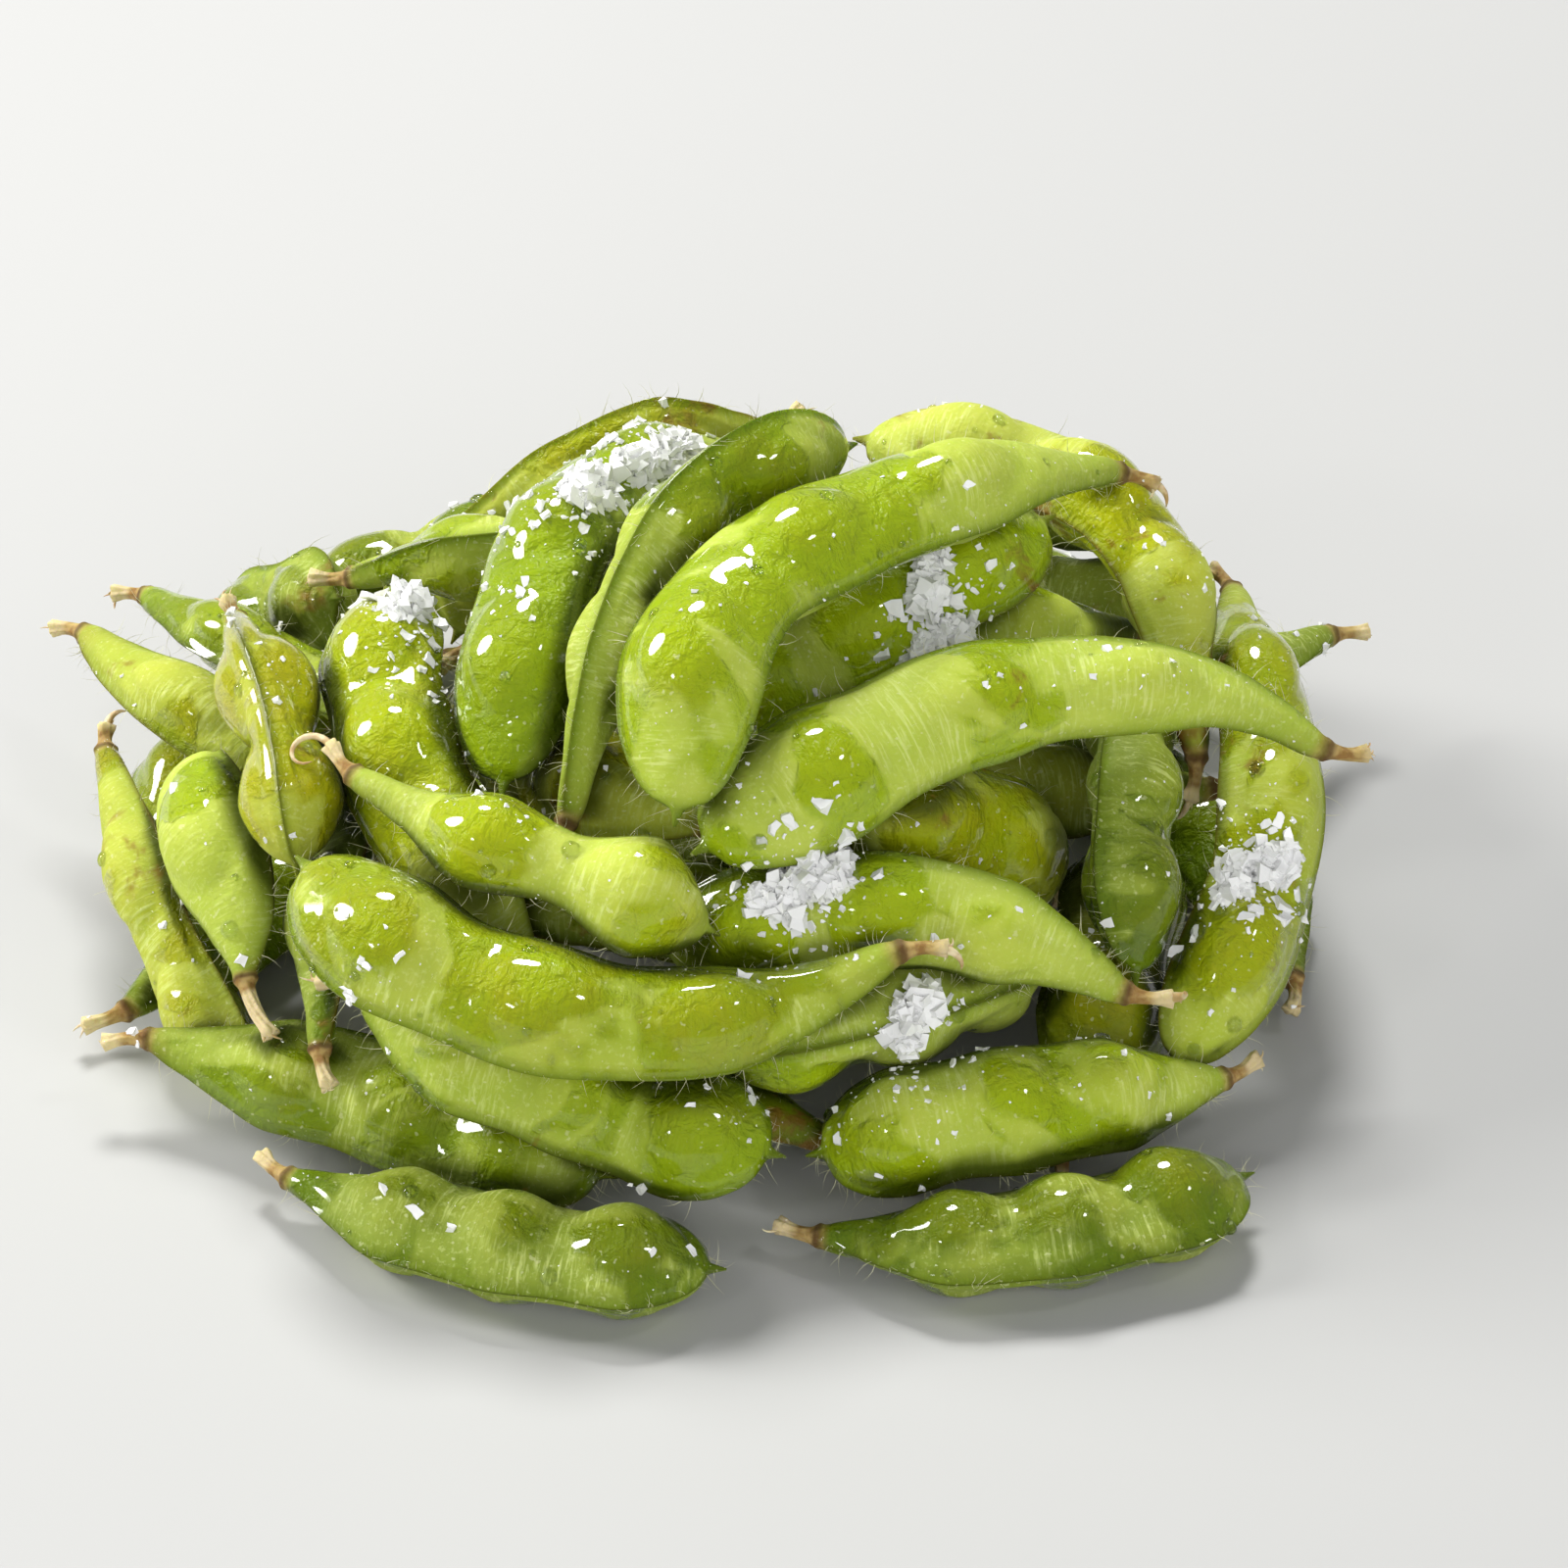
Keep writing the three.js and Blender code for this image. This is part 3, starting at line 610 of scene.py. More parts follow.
class Husk:
    """A pod's fine surface, and what is known at each point of it."""

    def __init__(self, node, stations, sides):
        self.name = node.name
        self.rng = np.random.default_rng(name_seed(node.name))
        centres, acrosses, throughs, (cut, beak) = skeleton(node)
        self.cut_end, self.beak_end = cut, beak
        centres = np.vstack([centres, beak])
        widths = np.append(np.linalg.norm(acrosses, axis=1), 0.12 * MM)
        depths = np.append(np.linalg.norm(throughs, axis=1), 0.12 * MM)
        acrosses = unit(np.vstack([acrosses, acrosses[-1]]))
        throughs = unit(np.vstack([throughs, throughs[-1]]))
        steps = np.append(0, np.cumsum(np.linalg.norm(np.diff(centres, axis=0), axis=1)))
        self.neck = steps[STALK_RINGS]
        self.nose = steps[-2]
        self.stations = self.spread(steps[-1], stations)
        s = self.stations
        self.centre = round_through(steps, centres, s)
        self.along = unit(np.gradient(self.centre, s, axis=0))
        across = round_through(steps, acrosses, s)
        self.across = unit(across - self.along * (across * self.along).sum(1)[:, None])
        self.through = np.cross(self.along, self.across)
        self.through *= np.sign((self.through * round_through(steps, throughs, s)).sum(1))[:, None]
        self.width = smooth_through(steps, widths, s)
        self.depth = smooth_through(steps, depths, s)
        slim = 1 - 0.45 / (1 + np.exp((s - self.neck - 0.5 * MM) / (0.8 * MM)))
        self.width *= slim
        self.depth *= slim
        inner = range(STALK_RINGS + 1, len(steps) - 3)
        self.beans = [steps[i] for i in inner if depths[i] > max(depths[i - 1], depths[i + 1])]
        turn = 2 * np.pi * np.arange(sides) / sides
        self.angle = turn - 0.35 * np.sin(2 * turn)

    def spread(self, length, count):
        """Stations along the pod, closer together at the neck and at the nose."""
        even = np.linspace(0, 1, 4 * count)
        crowding = (
            1
            + 2.2 * np.exp(-(((even * length - self.neck) / (2.2 * MM)) ** 2))
            + 2.5 * np.exp(-(((1 - even) * length / (5 * MM)) ** 2))
        )
        ordered = np.append(0, np.cumsum((crowding[1:] + crowding[:-1]) / 2))
        return np.interp(np.linspace(0, ordered[-1], count), ordered, even * length)

    def measures(self):
        """What is known at each station (rows) and angle (columns)."""
        s = self.stations[:, None]
        angle = self.angle[None, :]
        share = (s - self.neck) / (self.nose - self.neck)
        body = np.clip(share / 0.14, 0, 1) * np.clip((1.03 - share) / 0.06, 0, 1)
        seam_gap = self.width[:, None] * np.abs(np.sin(angle)) * 0.9
        seam = np.exp(-((seam_gap / (0.45 * MM)) ** 2))
        edge = np.exp(-((seam_gap / (1.7 * MM)) ** 2))
        side_span = np.abs(np.cos(angle)) * self.width[:, None]
        bean = np.zeros_like(side_span)
        crease = np.zeros_like(side_span)
        for middle in self.beans:
            reach = ((s - middle) / (6.3 * MM)) ** 2 + (side_span / (0.68 * self.width[:, None] + 0.4 * MM)) ** 2
            bean = np.maximum(bean, np.clip(1 - reach, 0, 1) ** 0.8)
            crease = np.maximum(crease, np.exp(-(((np.sqrt(reach) - 1.12) / 0.16) ** 2)))
        return {"share": share, "body": body, "seam": seam, "edge": edge, "bean": bean, "crease": crease}

    def surface(self, look):
        """Points of the husk, with its ridge, beans, creases and soft dents."""
        m = self.measures()
        angle = self.angle[None, :]
        cos, sin = np.cos(angle), np.sin(angle)
        back_seam = np.where(cos > 0, 1.0, 0.65)
        rise = look.ridge * m["seam"] * back_seam
        rise -= 0.4 * look.ridge * np.exp(-(((np.abs(sin) * self.width[:, None] - 1.5 * MM) / (0.6 * MM)) ** 2))
        rise += look.bean * m["bean"] - 0.34 * look.bean * m["crease"]
        rise *= m["body"]
        waves = soft_waves(self.rng, self.stations[:, None], angle)
        rise += look.waviness * waves * np.clip(m["body"] + 0.3, 0, 1)
        rise += self.stalk_relief(m["share"], angle)
        lens = np.sign(sin) * np.abs(sin) ** (1 + 0.2 * m["body"])
        outward = unit(
            self.across[:, None, :] * (cos * self.depth[:, None])[..., None]
            + self.through[:, None, :] * (sin * self.width[:, None])[..., None]
        )
        points = (
            self.centre[:, None, :]
            + self.across[:, None, :] * (self.width[:, None] * cos)[..., None]
            + self.through[:, None, :] * (self.depth[:, None] * lens)[..., None]
            + outward * rise[..., None]
        )
        points[..., 2] = np.maximum(points[..., 2], 0.02 * MM)
        return points, m

    def stalk_relief(self, share, angle):
        """The collar where the flower stood, the stalk's ribs and its splayed cut end."""
        s = self.stations[:, None]
        collar = 0.2 * MM * np.exp(-(((s - self.neck + 0.1 * MM) / (0.45 * MM)) ** 2))
        lobes = 1 + 0.45 * np.cos(5 * angle + self.rng.uniform(0, 6))
        ribs = 0.1 * MM * np.cos(6 * angle + 900 * s) * np.clip(-12 * share, 0, 1)
        splay = 0.28 * MM * np.exp(-((s / (0.9 * MM)) ** 2)) * (1 + 0.5 * np.sin(3 * angle + self.rng.uniform(0, 6)))
        return collar * lobes + ribs + splay

    def shut_in(self, points, solids):
        """How closely other pods shut in each point, 0 to 1, probed at every fourth row and column; it darkens the
        husk's colour as painted shade.
        """
        rows, columns = points.shape[:2]
        some_rows = np.append(np.arange(0, rows - 1, 4), rows - 1)
        some_columns = np.arange(0, columns, 4)
        coarse = np.zeros((len(some_rows), len(some_columns)))
        turns = np.radians([0, 60, 120, 180, 240, 300])
        for i, row in enumerate(some_rows):
            for j, column in enumerate(some_columns):
                out = unit(points[row, column] - self.centre[row])
                side = np.cross(out, self.along[row])
                ring = np.cos(turns)[:, None] * self.along[row] + np.sin(turns)[:, None] * side
                start = Vector(points[row, column] + out * 0.9 * MM)
                for probe in (out, *(0.7 * out + 0.7 * ring)):
                    gap = solids.ray_cast(start, Vector(probe), PROBE)[3]
                    coarse[i, j] += 0 if gap is None else (1 - gap / PROBE) / 7
        wide = np.array([np.interp(np.arange(columns), some_columns, line, period=columns) for line in coarse])
        return np.array([np.interp(np.arange(rows), some_rows, line) for line in wide.T]).T

    def mesh(self, look, solids):
        points, m = self.surface(look)
        m["shut_in"] = np.clip(self.shut_in(points, solids) * 1.5, 0, 1)
        rows, columns = points.shape[:2]
        vertices = np.vstack([points.reshape(-1, 3), self.cut_end, self.beak_end])
        handed = ((np.cross(self.across, self.through) * self.along).sum(1) > 0)[0]
        faces = grid_faces(rows, columns, handed)
        mesh = bpy.data.meshes.new(self.name)
        mesh.from_pydata(vertices.tolist(), [], faces)
        mesh.validate()
        mesh.polygons.foreach_set("use_smooth", [True] * len(mesh.polygons))
        self.write_layers(mesh, m, rows, columns)
        return mesh

    def write_layers(self, mesh, m, rows, columns):
        deep, yellow, stain = complexion_and_buried_shade(self.name)
        constant = np.ones((rows, columns))
        stretches = WET_STRETCHES.get(self.name, ())
        reaches = [1.0 - ((m["share"] - middle) / half) ** 2 for middle, half in stretches]
        film = np.clip(np.max(reaches, axis=0), -1, 1) if stretches else 0.0
        layers = {
            "share": np.broadcast_to(m["share"], constant.shape),
            "seam": m["seam"] * constant,
            "edge": m["edge"] * constant,
            "bean": m["bean"],
            "shut_in": m["shut_in"],
            "film": film * constant,
            "deep": deep * constant,
            "yellow": yellow * constant,
            "stain": stain * constant,
        }
        ends = {"share": (-0.15, 1.02)}
        for name, values in layers.items():
            layer = mesh.attributes.new(name, "FLOAT", "POINT")
            tail = ends.get(name, (values[0, 0], values[-1, 0]))
            layer.data.foreach_set("value", np.append(values.reshape(-1), tail).astype(np.float32))
        girth = 2 * np.pi * np.sqrt((self.width**2 + self.depth**2) / 2)
        turn = self.angle / (2 * np.pi)
        u = (turn[None, :] - 0.5) * np.maximum(girth.max() * 0.8, girth[:, None])
        v = np.broadcast_to(self.stations[:, None], u.shape)
        where = np.stack([u, v], -1).reshape(-1, 2)
        where = np.vstack([where, [0, 0], [0, self.stations[-1]]])
        corners = np.empty(len(mesh.loops), np.int32)
        mesh.loops.foreach_get("vertex_index", corners)
        layer = mesh.uv_layers.new(name="skin")
        layer.data.foreach_set("uv", where[corners].astype(np.float32).reshape(-1))


def grid_faces(rows, columns, handed):
    """Faces of a closed tube of points, with a fan to one more point at each end."""
    faces = []
    cut, beak = rows * columns, rows * columns + 1
    for c in range(columns):
        n = (c + 1) % columns
        for r in range(rows - 1):
            a, b = r * columns, (r + 1) * columns
            faces.append((a + c, a + n, b + n, b + c))
        faces.append((cut, n, c))
        last = (rows - 1) * columns
        faces.append((beak, last + c, last + n))
    return faces if handed else [face[::-1] for face in faces]


def complexion_and_buried_shade(name):
    """Deep, yellow and stain, from the table or drawn for a pod that has no entry there; a drawn pod's deep green is
    partly its own colour and partly painted shade, as most such pods lie low in the heap or inside it.
    """
    if name in COMPLEXIONS:
        return COMPLEXIONS[name]
    rng = np.random.default_rng(name_seed(name) + 1)
    # Painted shade in part: pods with no entry are drawn a deeper green, which darkens them low in and inside the
    # heap.
    return rng.uniform(0.6, 1.0), rng.uniform(0.05, 0.45), rng.uniform(0.05, 0.35)


# ---- Materials ----


def husk_finish(look):
    """Boiled husk: a wet film in patches over a green skin with down, fibres, stains, painted shade where other pods
    shut it in, and a dry stalk.
    """
    skin = Finish("boiled husk")
    place = skin.place()
    sheet = skin.node("ShaderNodeUVMap", {"uv_map": "skin"}).outputs[0]
    share, seam, edge, bean = (skin.attribute(n) for n in ("share", "seam", "edge", "bean"))
    deep, yellow, stain = (skin.attribute(n) for n in ("deep", "yellow", "stain"))
    patches = skin.noise(place, 62.0, 3.0, 0.55, 0.7)
    water = patches + bean * 0.06 + skin.attribute("film") * 0.11
    wet = skin.rise(water, 0.49, 0.515)
    damp = skin.rise(water, 0.455, 0.55)
    mottle = skin.noise(place, 190.0, 4.0, 0.6)
    fibres = skin.noise(skin.scaled(sheet, (260.0, 2300.0, 1.0)), 1.0, 3.0, 0.6, 0.25)
    wrinkles = skin.noise(skin.scaled(sheet, (110.0, 760.0, 1.0)), 1.0, 2.0, 0.5, 0.5)
    grain = skin.noise(place, 2100.0, 2.0, 0.6)
    ripple = skin.noise(place, 480.0, 3.0, 0.6, 0.6)
    specks = skin.rise(skin.noise(place, 1500.0, 1.0, 0.5), 0.68, 0.74)
    husk_part = skin.rise(share, -0.005, 0.03)
    neck = 1 - skin.rise(share, 0.01, 0.12)

    # Deep green from each pod's deep value, which for pods drawn without a table entry is partly painted shade.
    colour = skin.blend(skin.rise(deep + mottle * 0.5 - 0.25, 0.0, 1.0), tuple(look.bright), tuple(look.deep))
    colour = skin.blend(skin.rise(yellow + mottle * 0.6 - 0.3, 0.05, 0.95) * 0.9, colour, tuple(look.yellow))
    dryness = (1 - damp * 0.96) * (0.45 + mottle * 0.7) * (1 - deep * 0.5)
    colour = skin.blend(dryness * 0.75, colour, tuple(look.downy))
    strokes = skin.rise(fibres, 0.48, 0.68) * skin.rise(skin.noise(place, 110.0, 2.0), 0.42, 0.58)
    colour = skin.blend(strokes * (0.62 - damp * 0.6), colour, (0.66, 0.74, 0.26))
    colour = skin.blend(skin.rise(grain, 0.52, 0.75) * (0.3 - damp * 0.29), colour, (0.68, 0.75, 0.3))
    colour = skin.blend(bean * 0.1, colour, tuple(look.yellow))
    colour = skin.blend(edge * 0.7 * (1 - yellow * 0.8), colour, tuple(look.deep))
    colour = skin.blend(seam * 0.65, colour, tuple(0.5 * c for c in look.deep))
    colour = skin.blend(specks * 0.35, colour, (0.72, 0.74, 0.42))
    # Painted shade: the husk's colour is darkened towards a dark green where other pods shut it in.
    shade = skin.rise(skin.attribute("shut_in"), 0.3, 0.95)
    colour = skin.blend(shade * 0.92, colour, (0.13, 0.15, 0.06), "MULTIPLY")
    blots = skin.rise(skin.noise(place, 130.0, 4.0, 0.65, 0.4) + stain * 0.28, 0.7, 0.82)
    rusty = (blots + seam * stain * 0.8 + neck * (0.12 + stain * 0.5) * skin.rise(mottle, 0.4, 0.65)).least(1.0)
    colour = skin.blend(rusty * 0.7, colour, tuple(look.stain))
    bark = skin.blend(skin.rise(skin.noise(place, 900.0, 3.0), 0.35, 0.65), tuple(look.stalk), (0.27, 0.15, 0.05))
    bark = skin.blend(1 - skin.rise(share, -0.07, -0.045), bark, (0.62, 0.5, 0.28))
    joint = skin.rise(share, -0.016, -0.004) * (1 - skin.rise(share, 0.002, 0.014))
    bark = skin.blend(joint * 0.75, bark, (0.07, 0.035, 0.015))
    colour = skin.blend(husk_part, bark, colour)
    skin.set(Base_Color=colour)

    film = wet * husk_part
    skin.set(
        Roughness=0.56 - film * 0.3 + (1 - film) * (grain - 0.5) * 0.2,
        Coat_Weight=film,
        Coat_Roughness=0.04,
        Coat_IOR=1.5,
        IOR=1.35,
        Specular_IOR_Level=0.15,
        Subsurface_Weight=0.22,
        Subsurface_Scale=0.003,
        Subsurface_Radius=(0.7, 1.0, 0.12),
        Sheen_Weight=0.03,
        Sheen_Roughness=0.4,
        Sheen_Tint=(0.9, 0.95, 0.7, 1.0),
    )
    dry = 1 - film
    height = (
        (fibres - 0.5) * (0.00016 - 0.00009 * dry)
        + (grain - 0.5) * (0.00012 - 0.00009 * dry)
        + mottle * 0.00035
        + (ripple - 0.5) * (0.0002 + film * 0.0007)
        + film * 0.00005
        + (wrinkles - 0.5) * (0.00006 + edge * 0.0003)
    )
    skin.set(Normal=skin.bump(height))
    return skin.material


def fibre_finish():
    fibre = Finish("dried stalk fibre")
    place = fibre.place()
    tone = fibre.noise(place, 700.0, 3.0)
    fibre.set(
        Base_Color=fibre.blend(fibre.rise(tone, 0.35, 0.65), (0.74, 0.64, 0.4), (0.45, 0.3, 0.12)),
        Roughness=0.6 + (tone - 0.5) * 0.3,
        Normal=fibre.bump(fibre.noise(place, 3000.0, 2.0) * 0.00003),
        Subsurface_Weight=0.15,
        Subsurface_Scale=0.001,
    )
    return fibre.material


def down_finish():
    down = Finish("pale down")
    tone = down.noise(down.place(), 400.0, 2.0)
    down.set(
        Base_Color=down.blend(tone, (0.62, 0.62, 0.32), (0.82, 0.8, 0.58)),
        Roughness=0.45 + tone * 0.1,
        Transmission_Weight=0.25,
    )
    return down.material


def salt_finish(look):
    salt = Finish("salt crystal")
    place = salt.place()
    cloud = salt.noise(place, 900.0, 3.0, 0.6)
    salt.set(
        Base_Color=salt.blend(salt.rise(cloud, 0.3, 0.7), tuple(look.colour), (1.0, 1.0, 1.0)),
        Roughness=0.12 + cloud * 0.2,
        IOR=1.45,
        Transmission_Weight=0.15,
        Normal=salt.bump(salt.noise(place, 2600.0, 3.0, 0.6) * 0.00005),
    )
    return salt.material


def water_finish():
    water = Finish("clear water")
    water.set(Base_Color=(0.97, 1.0, 0.94, 1.0), Roughness=0.02, IOR=1.333, Transmission_Weight=1.0)
    return water.material


def table_finish(colour):
    table = Finish("matt table")
    tone = table.noise(table.place(), 6.0, 3.0)
    pale = tuple(0.985 * c for c in colour)
    table.set(Base_Color=table.blend(tone, tuple(colour), pale), Roughness=0.55 + tone * 0.1)
    return table.material


# ---- Pieces ----


def pod_nodes():
    return [node for name, node in frame["nodes"].items() if "_pod_" in name]


def salt_nodes():
    return [node for name, node in frame["nodes"].items() if name.startswith("salt_clump")]


def own(piece):
    """Makes a piece part of the heap's one body."""
    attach(piece, "root")
    return piece


def husk_pieces():
    return [o for o in bpy.context.scene.objects if o.get("husk")]


def joined(objects):
    """One mesh of several pieces' meshes, with their attributes."""
    work = bmesh.new()
    for piece in objects:
        work.from_mesh(piece.data)
    mesh = bpy.data.meshes.new("joined")
    work.to_mesh(mesh)
    work.free()
    return mesh


def solid_pods():
    """All the solid pods, ready for probing."""
    solids = bmesh.new()
    for node in pod_nodes():
        solids.from_mesh(node.data)
    tree = BVHTree.FromBMesh(solids)
    solids.free()
    return tree


def write_exposure(mesh):
    """Marks how open each point is to what falls on the heap from above and in front, and how near the salt is."""
    tree = solid_pods()
    count = len(mesh.vertices)
    points = np.empty(count * 3)
    normals = np.empty(count * 3)
    mesh.vertices.foreach_get("co", points)
    mesh.vertex_normals.foreach_get("vector", normals)
    points, normals = points.reshape(-1, 3), normals.reshape(-1, 3)
    fall = unit(np.array([-0.1, -0.5, 0.86]))
    facing = normals @ fall
    open_to = np.zeros(count, np.float32)
    for i in np.nonzero(facing > 0.15)[0]:
        start = Vector(points[i] + normals[i] * 0.9 * MM)
        if tree.ray_cast(start, Vector(fall))[0] is None:
            open_to[i] = min(1.0, (facing[i] - 0.1) * 1.8)
    clumps = np.array([np.mean(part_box(node.name), axis=0) for node in salt_nodes()])
    gaps = np.linalg.norm(points[:, None, :] - clumps[None], axis=2)
    near = np.exp(-((gaps / (8.5 * MM)) ** 2)).max(1)
    for name, values in (("open_to", open_to), ("near_salt", near)):
        mesh.attributes.new(name, "FLOAT", "POINT").data.foreach_set("value", values.astype(np.float32))


def fibre_tube(rng, start, heading, length, radius, curl):
    """A thin tapering tube that curls away from a stalk's cut end."""
    steps, sides = 15, 7
    heading = unit(heading)
    side = unit(np.cross(heading, rng.normal(size=3)))
    points = [np.array(start)]
    for i in range(1, steps):
        angle = curl * (i / (steps - 1)) ** 1.5
        step = heading * math.cos(angle) + side * math.sin(angle)
        points.append(points[-1] + step * length / (steps - 1))
    points = np.array(points)
    points[:, 2] = np.maximum(points[:, 2], radius)
    tangents = unit(np.gradient(points, axis=0))
    first = unit(np.cross(tangents, np.cross(heading, side)))
    second = np.cross(tangents, first)
    turn = 2 * np.pi * np.arange(sides) / sides
    taper = radius * (1 - 0.75 * (np.arange(steps) / (steps - 1)) ** 1.4)
    ring = first[:, None] * np.cos(turn)[:, None] + second[:, None] * np.sin(turn)[:, None]
    skin = points[:, None, :] + ring * taper[:, None, None]
    vertices = np.vstack([skin.reshape(-1, 3), points[0] - tangents[0] * radius, points[-1] + tangents[-1] * radius])
    handed = (np.cross(first[0], second[0]) @ tangents[0]) > 0
    return vertices, grid_faces(steps, sides, handed)


def look_of_strand(rng, look):
    """Length, thickness, turn and unevenness of a short frayed strand."""
    length = look.length * rng.uniform(0.5, 1.1)
    return length, look.radius * rng.uniform(0.6, 1.4), rng.uniform(0.3, 2.2), 0.45


class EDAMAME_OT_pods(bpy.types.Operator):
    """Grow a fine husk over each solid pod"""

    bl_idname = "edamame.pods"
    bl_label = "Husks"

    def execute(self, context):
        look = context.scene.edamame_pods
        finish = husk_finish(look)
        solids = solid_pods()
        for node in pod_nodes():
            hidden = node.name.startswith("middle")
            stations = look.stations // 2 if hidden else look.stations
            sides = look.sides // 2 if hidden else look.sides
            husk = Husk(node, stations, sides)
            piece = placed(node.name + "_husk", husk.mesh(look, solids))
            piece.data.materials.append(finish)
            piece["husk"] = True
            piece["cut_end"] = [float(x) for x in husk.centre[0]]
            piece["cut_heading"] = [float(x) for x in -husk.along[0]]
            own(piece)
            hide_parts(node.name)
        return {"FINISHED"}


class EDAMAME_OT_fibres(bpy.types.Operator):
    """Fray the cut end of each stalk"""

    bl_idname = "edamame.fibres"
    bl_label = "Stalk fibres"

    def execute(self, context):
        look = context.scene.edamame_fibres
        vertices, faces = [], []
        for piece in husk_pieces():
            rng = np.random.default_rng(name_seed(piece.name) + 5)
            start = np.array(piece["cut_end"])
            heading = np.array(piece["cut_heading"])
            strands = [look_of_strand(rng, look) for _ in range(rng.integers(2, 5))]
            curl = CURLS.get(piece.name.removesuffix("_husk"))
            if curl:
                strands.append((curl[0] * MM, curl[1] * MM, curl[2], 0.1))
            for length, radius, turn, wander in strands:
                root = start + (0.9 * wander) * MM * unit(rng.normal(size=3)) - heading * 0.5 * MM
                aim = heading + wander * rng.normal(size=3)
                points, sides = fibre_tube(rng, root, aim, length, radius, turn)
                offset = sum(len(v) for v in vertices)
                vertices.append(points)
                faces += [tuple(offset + i for i in face) for face in sides]
        mesh = bpy.data.meshes.new("stalk_fibres")
        mesh.from_pydata(np.vstack(vertices).tolist(), [], faces)
        mesh.polygons.foreach_set("use_smooth", [True] * len(mesh.polygons))
        mesh.materials.append(fibre_finish())
        own(placed("stalk_fibres", mesh))
        return {"FINISHED"}


class EDAMAME_OT_down(bpy.types.Operator):
    """Grow the pale down along the seams"""

    bl_idname = "edamame.down"
    bl_label = "Seam down"

    def execute(self, context):
        look = context.scene.edamame_down
        growth = Growth("seam down")
        length = growth.size("Hair length", look.length)
        radius = growth.size("Hair radius", look.radius)
        density = growth.size("Hairs per square metre", look.density)
        seed = growth.size("Seed", look.seed)
        hair = growth.node(
            "GeometryNodeMeshCone", {"fill_type": "NONE"}, vertices=3, side_segments=3, radius_top=0.000004,
            radius_bottom=radius, depth=length,
        ).outputs[0]
        up = growth.height()
        bend = growth.node("ShaderNodeCombineXYZ", x=up * up * 260.0).outputs[0]
        hair = growth.node("GeometryNodeSetPosition", geometry=hair, offset=bend).outputs[0]
        off_table = up.math("GREATER_THAN", up, 2.0 * MM)
        share = growth.attribute("share")
        along_seam = growth.attribute("seam") ** 2.0 * share.math("GREATER_THAN", share, 0.02)
        everywhere = share.math("GREATER_THAN", share, 0.03) * 0.012
        luck = Field(growth.tree, growth.chance(0.0, 1.0, 2))
        size = 0.2 + luck * 0.25 + growth.attribute("seam") * (0.2 + luck ** 2.0 * 0.9)
        hairs = growth.scatter(
            growth.surface, (along_seam + everywhere) * off_table * density, seed, hair,
            ((-0.75, -0.75, 0.0), (0.75, 0.75, 6.28)), size,
        )
        growth.finish(hairs, down_finish())
        for group in GROUPS:
            members = [husk for husk in husk_pieces() if husk.name.startswith(group)]
            own(growth.grow(group + "_seam_down", joined(members)))
        return {"FINISHED"}


def flake_shapes(growth, edge):
    """A handful of irregular thin crystals."""
    size = growth.node("ShaderNodeCombineXYZ", x=edge, y=edge * 0.8, z=edge * 0.62).outputs[0]
    gathered = growth.node("GeometryNodeJoinGeometry")
    for seed in range(6):
        cube = growth.node("GeometryNodeMeshCube", size=size, vertices_x=3, vertices_y=2, vertices_z=2).outputs[0]
        jolt = growth.chance((-0.5, -0.5, -0.35), (0.5, 0.5, 0.35), 20 + seed, "FLOAT_VECTOR")
        offset = growth.node("ShaderNodeVectorMath", {"operation": "SCALE"}, vector=jolt, scale=edge * 0.42)
        flake = growth.node("GeometryNodeSetPosition", geometry=cube, offset=offset.outputs[0]).outputs[0]
        one = growth.node("GeometryNodeGeometryToInstance", geometry=flake).outputs[0]
        growth.tree.links.new(one, gathered.inputs[0])
    return gathered.outputs[0]


def uneven(growth, size, seed):
    """A scale that differs along each axis."""
    stretch = growth.chance((0.55, 0.5, 0.4), (1.45, 1.2, 1.1), seed, "FLOAT_VECTOR")
    return growth.node("ShaderNodeVectorMath", {"operation": "SCALE"}, vector=stretch, scale=size).outputs[0]


